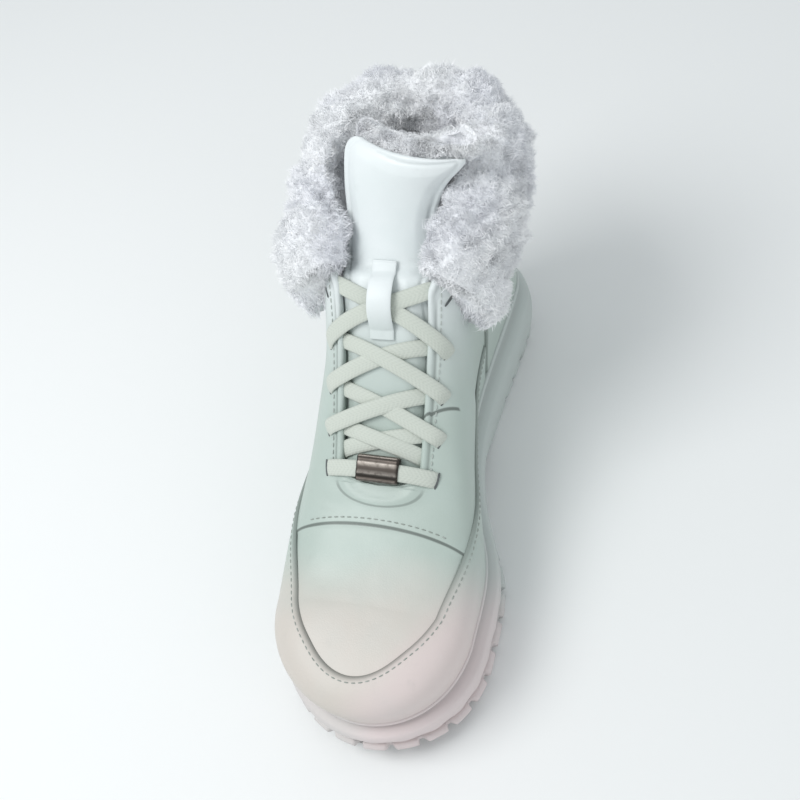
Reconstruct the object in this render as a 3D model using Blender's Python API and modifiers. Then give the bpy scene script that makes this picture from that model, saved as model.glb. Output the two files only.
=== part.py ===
"""Fur-collared winter boot for the right foot, as separate named pieces.

Frame: metres, +Z up, the boot stands on z = 0 with its toe towards -Y and its heel towards +Y.
The inner side of the foot (medial) is +X and the outer side (lateral) is -X.
Every curved piece is worked out from the tables of sections below, on one shared last.
"""

import math

import bmesh
import bpy
import numpy as np
from mathutils import Vector

# Main sizes
SOLE_LENGTH = 0.285
BALL_WIDTH = 0.106  # the sole across the ball of the foot
SOLE_OVERHANG = 0.0075  # the sole's widest line stands this far outside the foot of the upper
COLLAR_HEIGHT = 0.158  # the leather's top edge at the back, above the floor

# Heights of the sole under the foot, above the floor
HEEL_STACK = 0.045
BALL_STACK = 0.032
TOE_STACK = 0.034
TOE_SPRING = 0.011  # the tread's rise at the tip
ARCH_LIFT = 0.006  # the tread's rise under the arch
HEEL_BEVEL = 0.003  # the tread's rise at the very back
OUTSOLE_THICKNESS = 0.0075
RIM_HEIGHT = 0.005  # the sole's cup stands this much higher than the seat of the upper
LUG_DEPTH = 0.0042
LUG_GROOVE = 0.0042  # width of the grooves between lugs
LUG_PITCH = 0.0135
LUG_FIRST = -0.128  # y of the first groove
ARCH_FRONT = 0.000  # y between which the tread has no lugs
ARCH_BACK = 0.040
EDGE_PITCH = 0.015  # from lug to lug along the edge of the forefoot
LUG_OUT = 0.0030  # how far those lugs stand out past the rest of the tread's edge
NOTCH_REACH = 0.0045  # how far the notches between them run inwards
CLEARANCE = 0.0003  # between touching pieces

# Upper
WALL = 0.0024
THROAT_BOTTOM = -0.041  # y of the front end of the lace opening
THROAT_TOP = 0.058  # y past which the opening has cut through the collar
THROAT_LOW_HALF = 0.0185  # half width of the opening at its bottom
THROAT_HIGH_HALF = 0.0225  # and at the collar
EYELET_EDGE = 0.0085  # from the opening's edge to an eyelet's centre
EYELET_RADIUS = 0.0022
OVERLAY = 0.0013  # thickness of the mudguard and the heel counter

# Laces, loops and trim
LACE_WIDTH = 0.0078
LACE_THICKNESS = 0.0015
EDGE_GAP = 0.0026  # from a hidden lace end to the edge of the lace opening
LOOP_WIDTH = 0.0115
LOOP_THICKNESS = 0.0013
TAB_WIDTH = 0.036
CHARM_LENGTH = 0.020
CHARM_WIDTH = 0.0125
CHARM_THICKNESS = 0.0052

LOOP_FROM = 0.080  # from the tongue's buried end to the strap's lower end, along the tongue
LOOP_LENGTH = 0.036
LOOP_RISE = 0.0054  # how far the strap stands off the tongue
TAB_THICKNESS = 0.0026

# Tongue, insole and fur
TONGUE_THICKNESS = 0.0045
TONGUE_FUR = 0.0085
INSOLE_THICKNESS = 0.0045
CUFF_DROP = 0.033  # how far the turned-out fur hangs down the outside
TAB_TOP = COLLAR_HEIGHT - HEEL_STACK - CUFF_DROP - 0.004  # top of the pull tab, under that fur
CUFF_INSIDE = 0.026  # how far the same fur runs down the inside
CUFF_OUT = 0.0165  # depth of the fur outside the leather
HEEL_TRIM = 0.30  # share of that depth missing at the back of the heel
CUFF_IN = 0.0095  # depth of the fur inside the leather
CUFF_RISE = 0.0105  # height of the roll over the leather's top edge
LOCK_DEPTH = 0.0042  # how far a lock of fur stands out of the roll
CUFF_FRONT = 0.031  # y of the fur's two ends beside the tongue
FLAP_DROP = 0.35  # the flaps beside the tongue hang this share lower
FLAP_OUT = 0.30  # and stand this share further out
FUR_FROM_ROW = 9  # the tongue's row where its fur begins
FUR_ABOVE_TIP = 0.009

HALF_BALL = BALL_WIDTH / 2
HALF_LENGTH = SOLE_LENGTH / 2

# Plan of the sole, a row for each station from the back of the heel to the tip of the toe.
# station: where the row's centre lies, as a share of the length from the heel;
# turn: the direction that the row looks in, in degrees from straight back;
# lateral, medial: distance from that centre to the sole's widest line, as shares of HALF_BALL;
# centre: how far the row's centre lies to the medial side, as a share of HALF_BALL;
# body: the half width of the upper that its profile is scaled by, as a share of HALF_BALL.
PLAN = {
    "names": ("station", "turn", "lateral", "medial", "centre", "body"),
    "heel back": (0.140, 0, 0.753, 0.753, 0.00, 0.612),
    "heel corner": (0.140, 48, 0.765, 0.765, 0.00, 0.624),
    "heel side": (0.140, 90, 0.785, 0.765, 0.00, 0.640),
    "seat front": (0.270, 90, 0.795, 0.700, 0.00, 0.640),
    "collar front": (0.350, 90, 0.795, 0.655, 0.00, 0.640),
    "throat top": (0.410, 90, 0.805, 0.632, 0.01, 0.655),
    "waist": (0.475, 90, 0.835, 0.645, 0.02, 0.690),
    "shank front": (0.560, 90, 0.895, 0.745, 0.03, 0.750),
    "ball": (0.680, 90, 0.955, 0.970, 0.06, 0.822),
    "toe side": (0.825, 90, 0.925, 0.955, 0.11, 0.798),
    "toe corner": (0.825, 135, 0.885, 0.960, 0.11, 0.782),
    "toe tip": (0.825, 180, 0.941, 0.941, 0.11, 0.800),
}

# Profiles of the upper, a row for each station of the plan. Each profile is a smooth curve drawn by
# six points: foot, wall, belly, shoulder, crown, top. out: distance from the row's centre, for the
# wall as a share of the foot's own and for the others as a share of the body; up: height as a share
# of the way from the foot to the top; top_height: a share of COLLAR_HEIGHT. Where top_out is 0 the
# two sides meet on the ridge of the foot.
PROFILES = {
    "names": (
        "wall_out", "wall_up", "belly_out", "belly_up", "shoulder_out", "shoulder_up",
        "crown_out", "crown_up", "top_out", "top_height",
    ),
    "heel back": (1.01, 0.10, 1.18, 0.34, 0.86, 0.62, 0.80, 0.85, 0.88, 1.000),
    "heel corner": (1.01, 0.10, 1.14, 0.34, 0.90, 0.62, 0.88, 0.85, 0.95, 1.000),
    "heel side": (1.01, 0.10, 1.08, 0.36, 0.95, 0.62, 1.02, 0.85, 1.10, 0.995),
    "seat front": (1.01, 0.10, 1.05, 0.38, 0.96, 0.62, 1.02, 0.85, 1.02, 0.990),
    "collar front": (1.01, 0.10, 1.05, 0.38, 1.00, 0.66, 0.98, 0.86, 0.76, 0.960),
    "throat top": (1.01, 0.11, 1.06, 0.40, 1.01, 0.72, 0.88, 0.92, 0.62, 0.885),
    "waist": (1.01, 0.12, 1.07, 0.42, 1.00, 0.80, 0.50, 1.00, 0.00, 0.765),
    "shank front": (1.01, 0.13, 1.06, 0.48, 0.92, 0.88, 0.42, 1.00, 0.00, 0.605),
    "ball": (1.01, 0.16, 1.09, 0.55, 0.86, 0.92, 0.38, 1.00, 0.00, 0.462),
    "toe side": (1.01, 0.20, 1.13, 0.62, 0.86, 0.96, 0.38, 1.00, 0.00, 0.385),
    "toe corner": (1.01, 0.20, 1.14, 0.62, 0.88, 0.90, 0.40, 0.97, 0.00, 0.385),
    "toe tip": (1.01, 0.20, 1.14, 0.62, 0.88, 0.84, 0.42, 0.95, 0.00, 0.385),
}

# Side of the sole from the tread up: out is an inset from the widest line as a share of SOLE_OVERHANG,
# up a share of the height from the tread to the rim.
SIDE = {
    "names": ("inset", "up"),
    "tread edge": (0.45, 0.00),
    "low wall": (0.10, 0.16),
    "widest": (0.00, 0.40),
    "ledge edge": (0.12, 0.60),
    "ledge top": (0.45, 0.675),
    "groove": (0.86, 0.73),
    "band": (0.92, 0.84),
    "rim": (0.62, 0.95),
    "rim top": (0.70, 1.00),
}

# Top edges of the overlays: share of the way round from heel (0) to toe (1), with the level reached
# between the upper's foot (0) and its top (1), or the height as a share of COLLAR_HEIGHT.
MUDGUARD_EDGE = {
    "names": ("around", "level"),
    "back end": (0.345, 0.26),
    "waist": (0.46, 0.31),
    "shank front": (0.58, 0.38),
    "ball": (0.665, 0.51),
    "toe shoulder": (0.765, 0.665),
    "toe side": (0.86, 0.735),
    "toe tip": (1.00, 0.71),
}
COUNTER_EDGE = {
    "names": ("around", "height"),
    "back dip": (0.00, 0.300),
    "dip side": (0.06, 0.318),
    "hump": (0.135, 0.395),
    "side": (0.22, 0.400),
    "front": (0.34, 0.370),
}

# Free upper part of the tongue above the throat: centre line and half width in shares of COLLAR_HEIGHT,
# lean of its section in degrees from straight down, how far its edges fold back, how far it leans to
# the medial side, and its turn about the vertical.
TONGUE_TOP = {
    "names": ("y", "z", "half_width", "lean", "fold", "shift", "turn"),
    "leaving": (0.235, 0.905, 0.142, 40, 0.045, 0.000, 0.00),
    "loop top": (0.300, 0.990, 0.136, 55, 0.045, 0.000, 0.00),
    "neck": (0.344, 1.072, 0.152, 66, 0.050, 0.012, 0.05),
    "blade": (0.368, 1.135, 0.178, 74, 0.055, 0.040, 0.15),
    "tip": (0.380, 1.182, 0.194, 80, 0.055, 0.070, 0.24),
}

EYELET_ROWS = 5
EYELET_FIRST = -0.035  # y of the lowest pair
EYELET_STEP = 0.0157  # from pair to pair, along y

COLUMNS = 27  # columns of facets from heel to toe on each side
LEVELS = 10  # facets up the upper's wall


def column_of(table, name):
    """One named column of a table of sections, as an array."""
    at = table["names"].index(name)
    return np.array([row[at] for key, row in table.items() if key != "names"], float)


def ring_spline(knots, values, at):
    """A smooth closed curve through values at knots, whose last knot closes on the first."""
    knots = np.asarray(knots, float)
    values = np.asarray(values, float)
    steps = np.diff(knots)
    count = len(steps)
    system = np.zeros((count, count))
    right = np.zeros(count)
    rise = np.diff(np.append(values, values[0])) / steps
    for i in range(count):
        before = (i - 1) % count
        system[i, before] += steps[before]
        system[i, i] += 2 * (steps[before] + steps[i])
        system[i, (i + 1) % count] += steps[i]
        right[i] = 6 * (rise[i] - rise[before])
    bend = np.linalg.solve(system, right)
    at = np.mod(np.asarray(at, float) - knots[0], knots[-1] - knots[0]) + knots[0]
    i = np.clip(np.searchsorted(knots, at, side="right") - 1, 0, count - 1)
    j = (i + 1) % count
    h = steps[i]
    a = (knots[i + 1] - at) / h
    b = 1 - a
    return (
        a * values[i] + b * values[j]
        + ((a**3 - a) * bend[i] + (b**3 - b) * bend[j]) * h * h / 6
    )


def edge_curve(table, column, at):
    """A soft curve through a short table of an edge, level at both ends."""
    x = column_of(table, table["names"][0])
    y = column_of(table, column)
    slope = np.gradient(y, x)
    slope[0] = slope[-1] = 0.0
    at = np.clip(at, x[0], x[-1])
    i = np.clip(np.searchsorted(x, at, side="right") - 1, 0, len(x) - 2)
    h = x[i + 1] - x[i]
    t = (at - x[i]) / h
    return (
        (2 * t**3 - 3 * t**2 + 1) * y[i] + (t**3 - 2 * t**2 + t) * h * slope[i]
        + (3 * t**2 - 2 * t**3) * y[i + 1] + (t**3 - t**2) * h * slope[i + 1]
    )


def profile_weights(v):
    """Weights of the six points of a profile at v from 0 to 1: a clamped cubic B-spline."""
    knots = np.array([0, 0, 0, 0, 1 / 3, 2 / 3, 1, 1, 1, 1])
    v = np.clip(np.asarray(v, float), 0, 1 - 1e-9)
    basis = [np.where((v >= knots[i]) & (v < knots[i + 1]), 1.0, 0.0) for i in range(9)]
    for degree in (1, 2, 3):
        raised = []
        for i in range(9 - degree):
            left = knots[i + degree] - knots[i]
            right = knots[i + degree + 1] - knots[i + 1]
            part = np.zeros_like(v)
            if left > 0:
                part = part + (v - knots[i]) / left * basis[i]
            if right > 0:
                part = part + (knots[i + degree + 1] - v) / right * basis[i + 1]
            raised.append(part)
        basis = raised
    return np.stack(basis, -1)


# Positions round the last: 0 is the back of the heel, 1 the tip of the toe by the medial side, and 2
# the heel again by the lateral side. The rows' own positions follow the length of the outline.
def outline_rows():
    """Each row's centre x, centre y, turn in radians, lateral and medial reach, in metres."""
    x = column_of(PLAN, "centre") * HALF_BALL
    y = HALF_LENGTH - column_of(PLAN, "station") * SOLE_LENGTH
    turn = np.radians(column_of(PLAN, "turn"))
    return x, y, turn, column_of(PLAN, "lateral") * HALF_BALL, column_of(PLAN, "medial") * HALF_BALL


def row_positions():
    x, y, turn, lateral, medial = outline_rows()
    reach = (lateral + medial) / 2
    across = x + np.sin(turn) * reach
    along = y + np.cos(turn) * reach
    run = np.concatenate([[0], np.cumsum(np.hypot(np.diff(across), np.diff(along)))])
    return run / run[-1]


ROWS = row_positions()
RING = np.concatenate([ROWS, 2 - ROWS[-2::-1]])


def around_ring(medial, lateral, u):
    """A column of a table with one value a row and side, read smoothly at u from 0 to 2."""
    return ring_spline(RING, np.concatenate([medial, lateral[-2:0:-1]]), u)


def centre_and_direction(u):
    """The row centre and the outward direction at u. Both run straight from row to row."""
    x, y, turn, _, _ = outline_rows()
    folded = np.where(u > 1, 2 - u, u)
    side = np.where(u > 1, -1.0, 1.0)
    turn = np.interp(folded, ROWS, turn)
    centre = np.stack([np.interp(folded, ROWS, x), np.interp(folded, ROWS, y)], -1)
    return centre, np.stack([side * np.sin(turn), np.cos(turn)], -1)


def widest(u):
    """Distance from the row centre to the sole's widest line."""
    _, _, _, lateral, medial = outline_rows()
    return around_ring(medial, lateral, u)


def foot_reach(u):
    """Distance from the row centre to the foot of the upper."""
    return widest(u) - SOLE_OVERHANG


def tread_height(y):
    """Underside of the sole: flat at heel and ball, lifted at the arch, the tip and the very back."""
    share = (HALF_LENGTH - np.asarray(y, float)) / SOLE_LENGTH
    rise = np.clip((share - 0.80) / 0.20, 0, 1)
    back = np.clip((0.045 - share) / 0.045, 0, 1)
    arch = np.clip((share - 0.36) / 0.20, 0, 1)
    return TOE_SPRING * rise**1.8 + HEEL_BEVEL * back**1.5 + ARCH_LIFT * np.sin(np.pi * arch) ** 2


def seat_height(y):
    """Where the upper stands on the sole: high at the heel, low at the ball, up again at the toe."""
    share = (HALF_LENGTH - np.asarray(y, float)) / SOLE_LENGTH
    down = np.clip((share - 0.12) / 0.55, 0, 1)
    down = down * down * (3 - 2 * down)
    up = np.clip((share - 0.72) / 0.28, 0, 1)
    heel_to_ball = (HEEL_STACK - RIM_HEIGHT) * (1 - down) + (BALL_STACK - RIM_HEIGHT) * down
    return heel_to_ball + (TOE_STACK - BALL_STACK) * up**1.5


def skin(u, v, lift=0.0):
    """A point of the upper's outer surface at u round the last and v from foot to top, moved out by lift."""
    u, v, lift = np.broadcast_arrays(*(np.asarray(a, float) for a in (u, v, lift)))
    if np.any(lift):
        step = 1e-3
        along = skin(u + step, v) - skin(u - step, v)
        up_v, down_v = np.minimum(v + step, 1), np.maximum(v - step, 0)
        up = skin(u, up_v) - skin(u, down_v)
        normal = np.cross(up, along)
        normal /= np.maximum(np.linalg.norm(normal, axis=-1, keepdims=True), 1e-12)
        return skin(u, v) + normal * lift[..., None]
    flat = u.ravel()
    weights = profile_weights(v.ravel())
    centre, direction = centre_and_direction(np.mod(flat, 2.0))
    reach = foot_reach(flat)
    foot = centre + direction * reach[:, None]
    z_foot = seat_height(foot[:, 1]) + CLEARANCE

    def table(name):
        column = column_of(PROFILES, name)
        return around_ring(column, column, flat)

    folded = np.where(flat % 2 > 1, 2 - flat % 2, flat % 2)
    toe = column_of(PROFILES, "top_height")[-1]
    z_top = np.where(folded >= ROWS[-3], toe, table("top_height")) * COLLAR_HEIGHT
    body = around_ring(column_of(PLAN, "body"), column_of(PLAN, "body"), flat) * HALF_BALL
    shut = np.clip((centre[:, 1] - THROAT_BOTTOM) / 0.008, 0, 1)
    outs = np.stack(
        [reach, table("wall_out") * reach]
        + [table(n) * body for n in ("belly_out", "shoulder_out", "crown_out")]
        + [table("top_out") * body * shut],
        -1,
    )
    ups = np.stack(
        [np.zeros_like(flat)] + [table(n) for n in ("wall_up", "belly_up", "shoulder_up", "crown_up")]
        + [np.ones_like(flat)],
        -1,
    )
    out = np.maximum((outs * weights).sum(-1), 0)
    z = z_foot + (ups * weights).sum(-1) * (z_top - z_foot)
    plan = centre + direction * out[:, None]
    return np.concatenate([plan, z[:, None]], -1).reshape(u.shape + (3,))


def level_of(u, height):
    """The v at which the profile at u reaches a height above its foot."""
    v = np.linspace(0, 1, 81)
    found = []
    for a, h in zip(np.atleast_1d(u), np.atleast_1d(height), strict=True):
        z = skin(np.full_like(v, a), v)[:, 2]
        found.append(np.interp(h, np.maximum.accumulate(z - z[0]), v))
    return np.array(found)


def position_at(y):
    """The u on the medial side whose row centre lies at y, in the stretch that looks sideways."""
    _, rows_y, _, _, _ = outline_rows()
    first, last = 2, len(ROWS) - 3
    return np.interp(-y, -rows_y[first : last + 1], ROWS[first : last + 1])


def over_foot(x, y, lift=0.0):
    """The point of the upper's surface over a plan point near the ridge, and its outward normal."""
    u = float(position_at(y))
    centre, _ = centre_and_direction(np.array(u))
    sideways = x - centre[0]
    if sideways < 0:
        u = 2 - u
    v = np.linspace(0.35, 1, 200)
    line = skin(np.full_like(v, u), v, lift)
    out = np.abs(line[:, 0] - centre[0])
    order = np.argsort(out)
    z = np.interp(abs(sideways), out[order], line[order, 2])
    return np.array([x, y, z])


def normal_over(x, y):
    step = 0.002
    across = over_foot(x + step, y) - over_foot(x - step, y)
    along = over_foot(x, y - step) - over_foot(x, y + step)
    normal = np.cross(along, across)
    normal /= np.linalg.norm(normal)
    return normal if normal[2] > 0 else -normal


def spine_x(y):
    """The x of the row centres at y."""
    return float(centre_and_direction(position_at(y))[0][0])


def throat_half(y):
    """Half width of the lace opening at y, past its rounded bottom."""
    share = np.clip((y - THROAT_BOTTOM) / (THROAT_TOP - THROAT_BOTTOM), 0, 1)
    return THROAT_LOW_HALF + (THROAT_HIGH_HALF - THROAT_LOW_HALF) * share


# Blender helpers
def clear_scene():
    for obj in list(bpy.data.objects):
        bpy.data.objects.remove(obj)


def material(name, colour, roughness, metallic=0.0):
    made = bpy.data.materials.new(name)
    made.use_nodes = True
    shader = made.node_tree.nodes["Principled BSDF"]
    shader.inputs["Base Color"].default_value = (*colour, 1.0)
    shader.inputs["Roughness"].default_value = roughness
    shader.inputs["Metallic"].default_value = metallic
    return made


def new_object(name, points, faces, collection, finish=None):
    """A mesh object whose doubled points are merged and whose faces point out."""
    mesh = bpy.data.meshes.new(name)
    mesh.from_pydata([tuple(p) for p in points], [], [tuple(f) for f in faces])
    work = bmesh.new()
    work.from_mesh(mesh)
    bmesh.ops.remove_doubles(work, verts=work.verts, dist=1e-6)
    bmesh.ops.dissolve_degenerate(work, edges=work.edges, dist=1e-6)
    bmesh.ops.recalc_face_normals(work, faces=work.faces)
    work.to_mesh(mesh)
    work.free()
    obj = bpy.data.objects.new(name, mesh)
    collection.objects.link(obj)
    if finish:
        mesh.materials.append(finish)
    mesh.shade_smooth()
    return obj


def grid_faces(rows, columns, closed=False, start=0):
    """Quads of a grid of points stored row by row; closed joins the last column to the first."""
    faces = []
    for r in range(rows - 1):
        for c in range(columns if closed else columns - 1):
            d = (c + 1) % columns
            a, b = start + r * columns, start + (r + 1) * columns
            faces.append((a + c, a + d, b + d, b + c))
    return faces


def ladder_faces(columns, start, flip=False):
    """A cap across a closed ring whose first and middle points are the heel and the toe."""
    half = columns // 2
    faces = []
    for i in range(half):
        a, b = start + i, start + i + 1
        c, d = start + (columns - i - 1) % columns, start + (columns - i) % columns
        ring = [a, b, c, d]
        ring = [p for k, p in enumerate(ring) if p not in ring[:k]]
        if len(ring) > 2:
            faces.append(ring[::-1] if flip else ring)
    return faces


def outward(obj):
    """Turns a sheet's faces so that they look away from the boot's middle line."""
    mesh = obj.data
    total = sum(
        (f.center - Vector((0, f.center.y * 0.8, 0.06))).dot(f.normal) * f.area for f in mesh.polygons
    )
    if total < 0:
        mesh.flip_normals()


def solidify(obj, thickness, outside):
    """Gives a sheet its wall, on its outer side or its inner side."""
    wall = obj.modifiers.new("wall", "SOLIDIFY")
    wall.thickness = thickness
    wall.offset = 1.0 if outside else -1.0
    wall.use_even_offset = True
    wall.use_quality_normals = True


def boolean(obj, cutter, operation="DIFFERENCE"):
    cut = obj.modifiers.new(cutter.name, "BOOLEAN")
    cut.operation = operation
    cut.solver = "EXACT"
    cut.object = cutter


def hide_as_cutter(obj):
    obj.hide_render = True
    obj.display_type = "WIRE"


def prism(name, outline, low, high, collection):
    """An upright prism on a plan outline."""
    count = len(outline)
    points = [(x, y, low) for x, y in outline] + [(x, y, high) for x, y in outline]
    faces = [tuple(range(count))[::-1], tuple(range(count, 2 * count))]
    faces += [(i, (i + 1) % count, (i + 1) % count + count, i + count) for i in range(count)]
    return new_object(name, points, faces, collection)


def columns_between(first, last):
    """The upper's own column positions from first to last, with those two ends added."""
    own = np.arange(-COLUMNS, 3 * COLUMNS + 1) / COLUMNS
    inside = own[(own > first + 0.004) & (own < last - 0.004)]
    return np.concatenate([[first], inside, [last]])


def ring_positions():
    """Even positions round the whole last, with the heel, the toe and both fans well covered."""
    half = np.linspace(0, 1, COLUMNS + 1)
    return np.concatenate([half, 2 - half[-2:0:-1]])


# The sole
def sole_ring(u, inset, height, drop=0.0):
    """A closed line round the sole: inset from the widest line, height a share from tread to rim."""
    centre, direction = centre_and_direction(u)
    reach = widest(u) - inset
    plan = centre + direction * reach[:, None]
    low = tread_height(plan[:, 1]) + drop
    high = seat_height(plan[:, 1]) + RIM_HEIGHT
    return np.concatenate([plan, (low + (high - low) * height)[:, None]], -1)


def make_midsole(collection, finish):
    """The thick moulded cup: stepped side, rim round the upper's foot and a seat inside it."""
    u = ring_positions()
    rings = []
    for inset, up in zip(column_of(SIDE, "inset"), column_of(SIDE, "up"), strict=True):
        rings.append(sole_ring(u, inset * SOLE_OVERHANG, up, OUTSOLE_THICKNESS + CLEARANCE))
    rim_level = level_of(u, np.full_like(u, RIM_HEIGHT))
    for share in (1.0, 0.5, 0.0):
        inside = skin(u, rim_level * share, CLEARANCE)
        inside[:, 2] = seat_height(inside[:, 1]) + RIM_HEIGHT * share
        rings.append(inside)
    count = len(u)
    points = np.concatenate(rings)
    faces = grid_faces(len(rings), count, closed=True)
    faces += ladder_faces(count, 0, flip=True)
    faces += ladder_faces(count, (len(rings) - 1) * count)
    return new_object("midsole", points, faces, collection, finish)


def lug_grooves(collection):
    """Cutters of the tread: zigzag grooves across it, a middle channel, and notches in its edge."""
    made = []
    first, last = LUG_FIRST, HALF_LENGTH - 0.012
    for i in range(int((last - first) / LUG_PITCH) + 1):
        y = first + i * LUG_PITCH
        if ARCH_BACK > y > ARCH_FRONT:
            continue
        zig = LUG_PITCH * 0.3
        outline = [(-0.07, y - zig), (-0.02, y + zig), (0.02, y - zig), (0.07, y + zig)]
        outline += [(x, yy + LUG_GROOVE) for x, yy in outline[::-1]]
        base = float(tread_height(np.array(y + LUG_GROOVE / 2)))
        made.append(prism(f"groove {i}", outline, -0.01, base + LUG_DEPTH, collection))
    channel = [(-0.0035, -0.118), (0.0035, -0.118), (0.0035, 0.126), (-0.0035, 0.126)]
    made.append(prism("channel", channel, -0.01, LUG_DEPTH * 0.8, collection))
    u = np.linspace(position_at(ARCH_FRONT), 1, 400)
    run = np.cumsum(np.linalg.norm(np.diff(sole_ring(u, 0.0, 0.0), axis=0), axis=1))
    for i in range(int(run[-1] / EDGE_PITCH)):
        at = float(np.interp((i + 0.5) * EDGE_PITCH, run, u[1:]))
        for side in (at, 2 - at):
            made.append(edge_notch(f"notch {i} {'medial' if side < 1 else 'lateral'}", side, collection))
    for obj in made:
        hide_as_cutter(obj)
    return made


def edge_notch(name, u, collection):
    """A wedge that parts two lugs at the edge of the tread, square to the sole's outline."""
    edge = sole_ring(np.array([u]), 0.0, 0.0)[0, :2]
    _, direction = centre_and_direction(np.array(u))
    across = np.array([-direction[1], direction[0]])
    outline = []
    for out, half in ((-NOTCH_REACH, 0.0008), (0.006, 0.0030)):
        for sign in (-1, 1) if out < 0 else (1, -1):
            outline.append(tuple(edge + direction * out + across * half * sign))
    return prism(name, outline, -0.01, 0.05, collection)


def make_outsole(collection, cutters, finish):
    """The tread under the midsole, as wide as it, with lugs that show at its edge."""
    u = ring_positions()
    folded = np.where(u > 1, 2 - u, u)
    stands = np.clip((folded - 0.50) / 0.14, 0, 1)
    inset = SIDE["tread edge"][0] * SOLE_OVERHANG - stands * LUG_OUT
    top = sole_ring(u, inset, 0.0)
    top[:, 2] = tread_height(top[:, 1]) + OUTSOLE_THICKNESS
    middle = sole_ring(u, inset - 0.0012, 0.0)
    middle[:, 2] = tread_height(middle[:, 1]) + OUTSOLE_THICKNESS * 0.55
    bottom = sole_ring(u, inset + 0.0010, 0.0)
    count = len(u)
    points = np.concatenate([bottom, middle, top])
    faces = grid_faces(3, count, closed=True)
    faces += ladder_faces(count, 0, flip=True) + ladder_faces(count, 2 * count)
    obj = new_object("outsole", points, faces, collection, finish)
    for cutter in lug_grooves(cutters):
        boolean(obj, cutter)
    return obj


def make_insole(collection, finish):
    """The footbed on the sole's seat, inside the upper's wall."""
    u = ring_positions()
    inset = SOLE_OVERHANG + WALL + 3 * CLEARANCE
    low = sole_ring(u, inset, 0.0)
    low[:, 2] = seat_height(low[:, 1]) + CLEARANCE
    high = low.copy()
    high[:, 2] += INSOLE_THICKNESS
    count = len(u)
    faces = grid_faces(2, count, closed=True)
    faces += ladder_faces(count, 0, flip=True) + ladder_faces(count, count)
    return new_object("insole", np.concatenate([low, high]), faces, collection, finish)


# The upper and what is sewn on it
def throat_outline():
    """Plan of the lace opening: a shallow round bottom and two edges that open towards the collar."""
    centre_x = float(centre_and_direction(position_at(THROAT_BOTTOM))[0][0])
    bend = 0.009
    points = []
    for angle in np.linspace(0, np.pi, 9):
        x = centre_x - THROAT_LOW_HALF * np.cos(angle)
        points.append((x, THROAT_BOTTOM + bend * (1 - np.sin(angle) ** 0.7)))
    points.append((THROAT_HIGH_HALF, THROAT_TOP))
    points.append((-THROAT_HIGH_HALF, THROAT_TOP))
    return points


def eyelet_places():
    """Plan points of the lace holes, as pairs (lateral, medial) from the toe up."""
    pairs = []
    for i in range(EYELET_ROWS):
        y = EYELET_FIRST + i * EYELET_STEP
        centre_x = float(centre_and_direction(position_at(y))[0][0])
        reach = throat_half(y) + EYELET_EDGE
        pairs.append(((centre_x - reach, y), (centre_x + reach, y)))
    return pairs


def make_upper(collection, cutters, finish):
    """The one hollow shell: a sheet from the foot to the collar and the ridge, with its wall inside."""
    u = ring_positions()
    v = np.linspace(0, 1, LEVELS + 1)
    grid = skin(u[None, :], v[:, None])
    faces = grid_faces(len(v), len(u), closed=True)
    obj = new_object("upper", grid.reshape(-1, 3), faces, collection, finish)
    outward(obj)
    solidify(obj, WALL, outside=False)
    throat = prism("throat", throat_outline(), 0.06, 0.22, cutters)
    hide_as_cutter(throat)
    boolean(obj, throat)
    for i, pair in enumerate(eyelet_places()):
        for x, y in pair:
            middle = over_foot(x, y)
            normal = normal_over(x, y)
            hole = drill(f"eyelet {i} {'medial' if x > 0 else 'lateral'}", middle, normal, cutters)
            boolean(obj, hole)
    return obj


def drill(name, middle, normal, collection):
    work = bmesh.new()
    bmesh.ops.create_cone(
        work, cap_ends=True, segments=10, radius1=EYELET_RADIUS, radius2=EYELET_RADIUS, depth=0.016
    )
    mesh = bpy.data.meshes.new(name)
    work.to_mesh(mesh)
    work.free()
    obj = bpy.data.objects.new(name, mesh)
    obj.rotation_mode = "QUATERNION"
    obj.rotation_quaternion = Vector(normal).to_track_quat("Z", "Y")
    obj.location = Vector(middle)
    collection.objects.link(obj)
    hide_as_cutter(obj)
    return obj


def overlay(name, u, top, collection, finish):
    """A panel that lies on the upper from just above the sole's rim up to the levels of its top edge.

    Its rows follow the upper's own levels, cut off at the two edges, so its facets stay parallel."""
    low = level_of(np.mod(u, 2), np.full_like(top, RIM_HEIGHT + 2 * CLEARANCE))
    levels = np.arange(LEVELS + 1)[:, None] / LEVELS
    v = np.clip(levels, low[None, :], top[None, :])
    v = v[int(low.min() * LEVELS) : int(np.ceil(top.max() * LEVELS)) + 1]
    grid = skin(np.mod(u, 2)[None, :], v, CLEARANCE)
    obj = new_object(name, grid.reshape(-1, 3), grid_faces(len(v), len(u)), collection, finish)
    outward(obj)
    solidify(obj, OVERLAY, outside=True)
    return obj


def make_mudguard(collection, finish):
    """The rand round the forefoot: from waist to waist by way of the toe."""
    start = MUDGUARD_EDGE["back end"][0]
    u = columns_between(start, 2 - start)
    folded = np.where(u > 1, 2 - u, u)
    return overlay("mudguard", u, edge_curve(MUDGUARD_EDGE, "level", folded), collection, finish)


def make_counter(collection, finish):
    """The heel counter, with a wavy top edge that dips at the back seam."""
    end = COUNTER_EDGE["front"][0]
    u = columns_between(-end, end)
    heights = edge_curve(COUNTER_EDGE, "height", np.abs(u)) * COLLAR_HEIGHT
    return overlay("heel_counter", u, level_of(np.mod(u, 2), heights), collection, finish)


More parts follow.
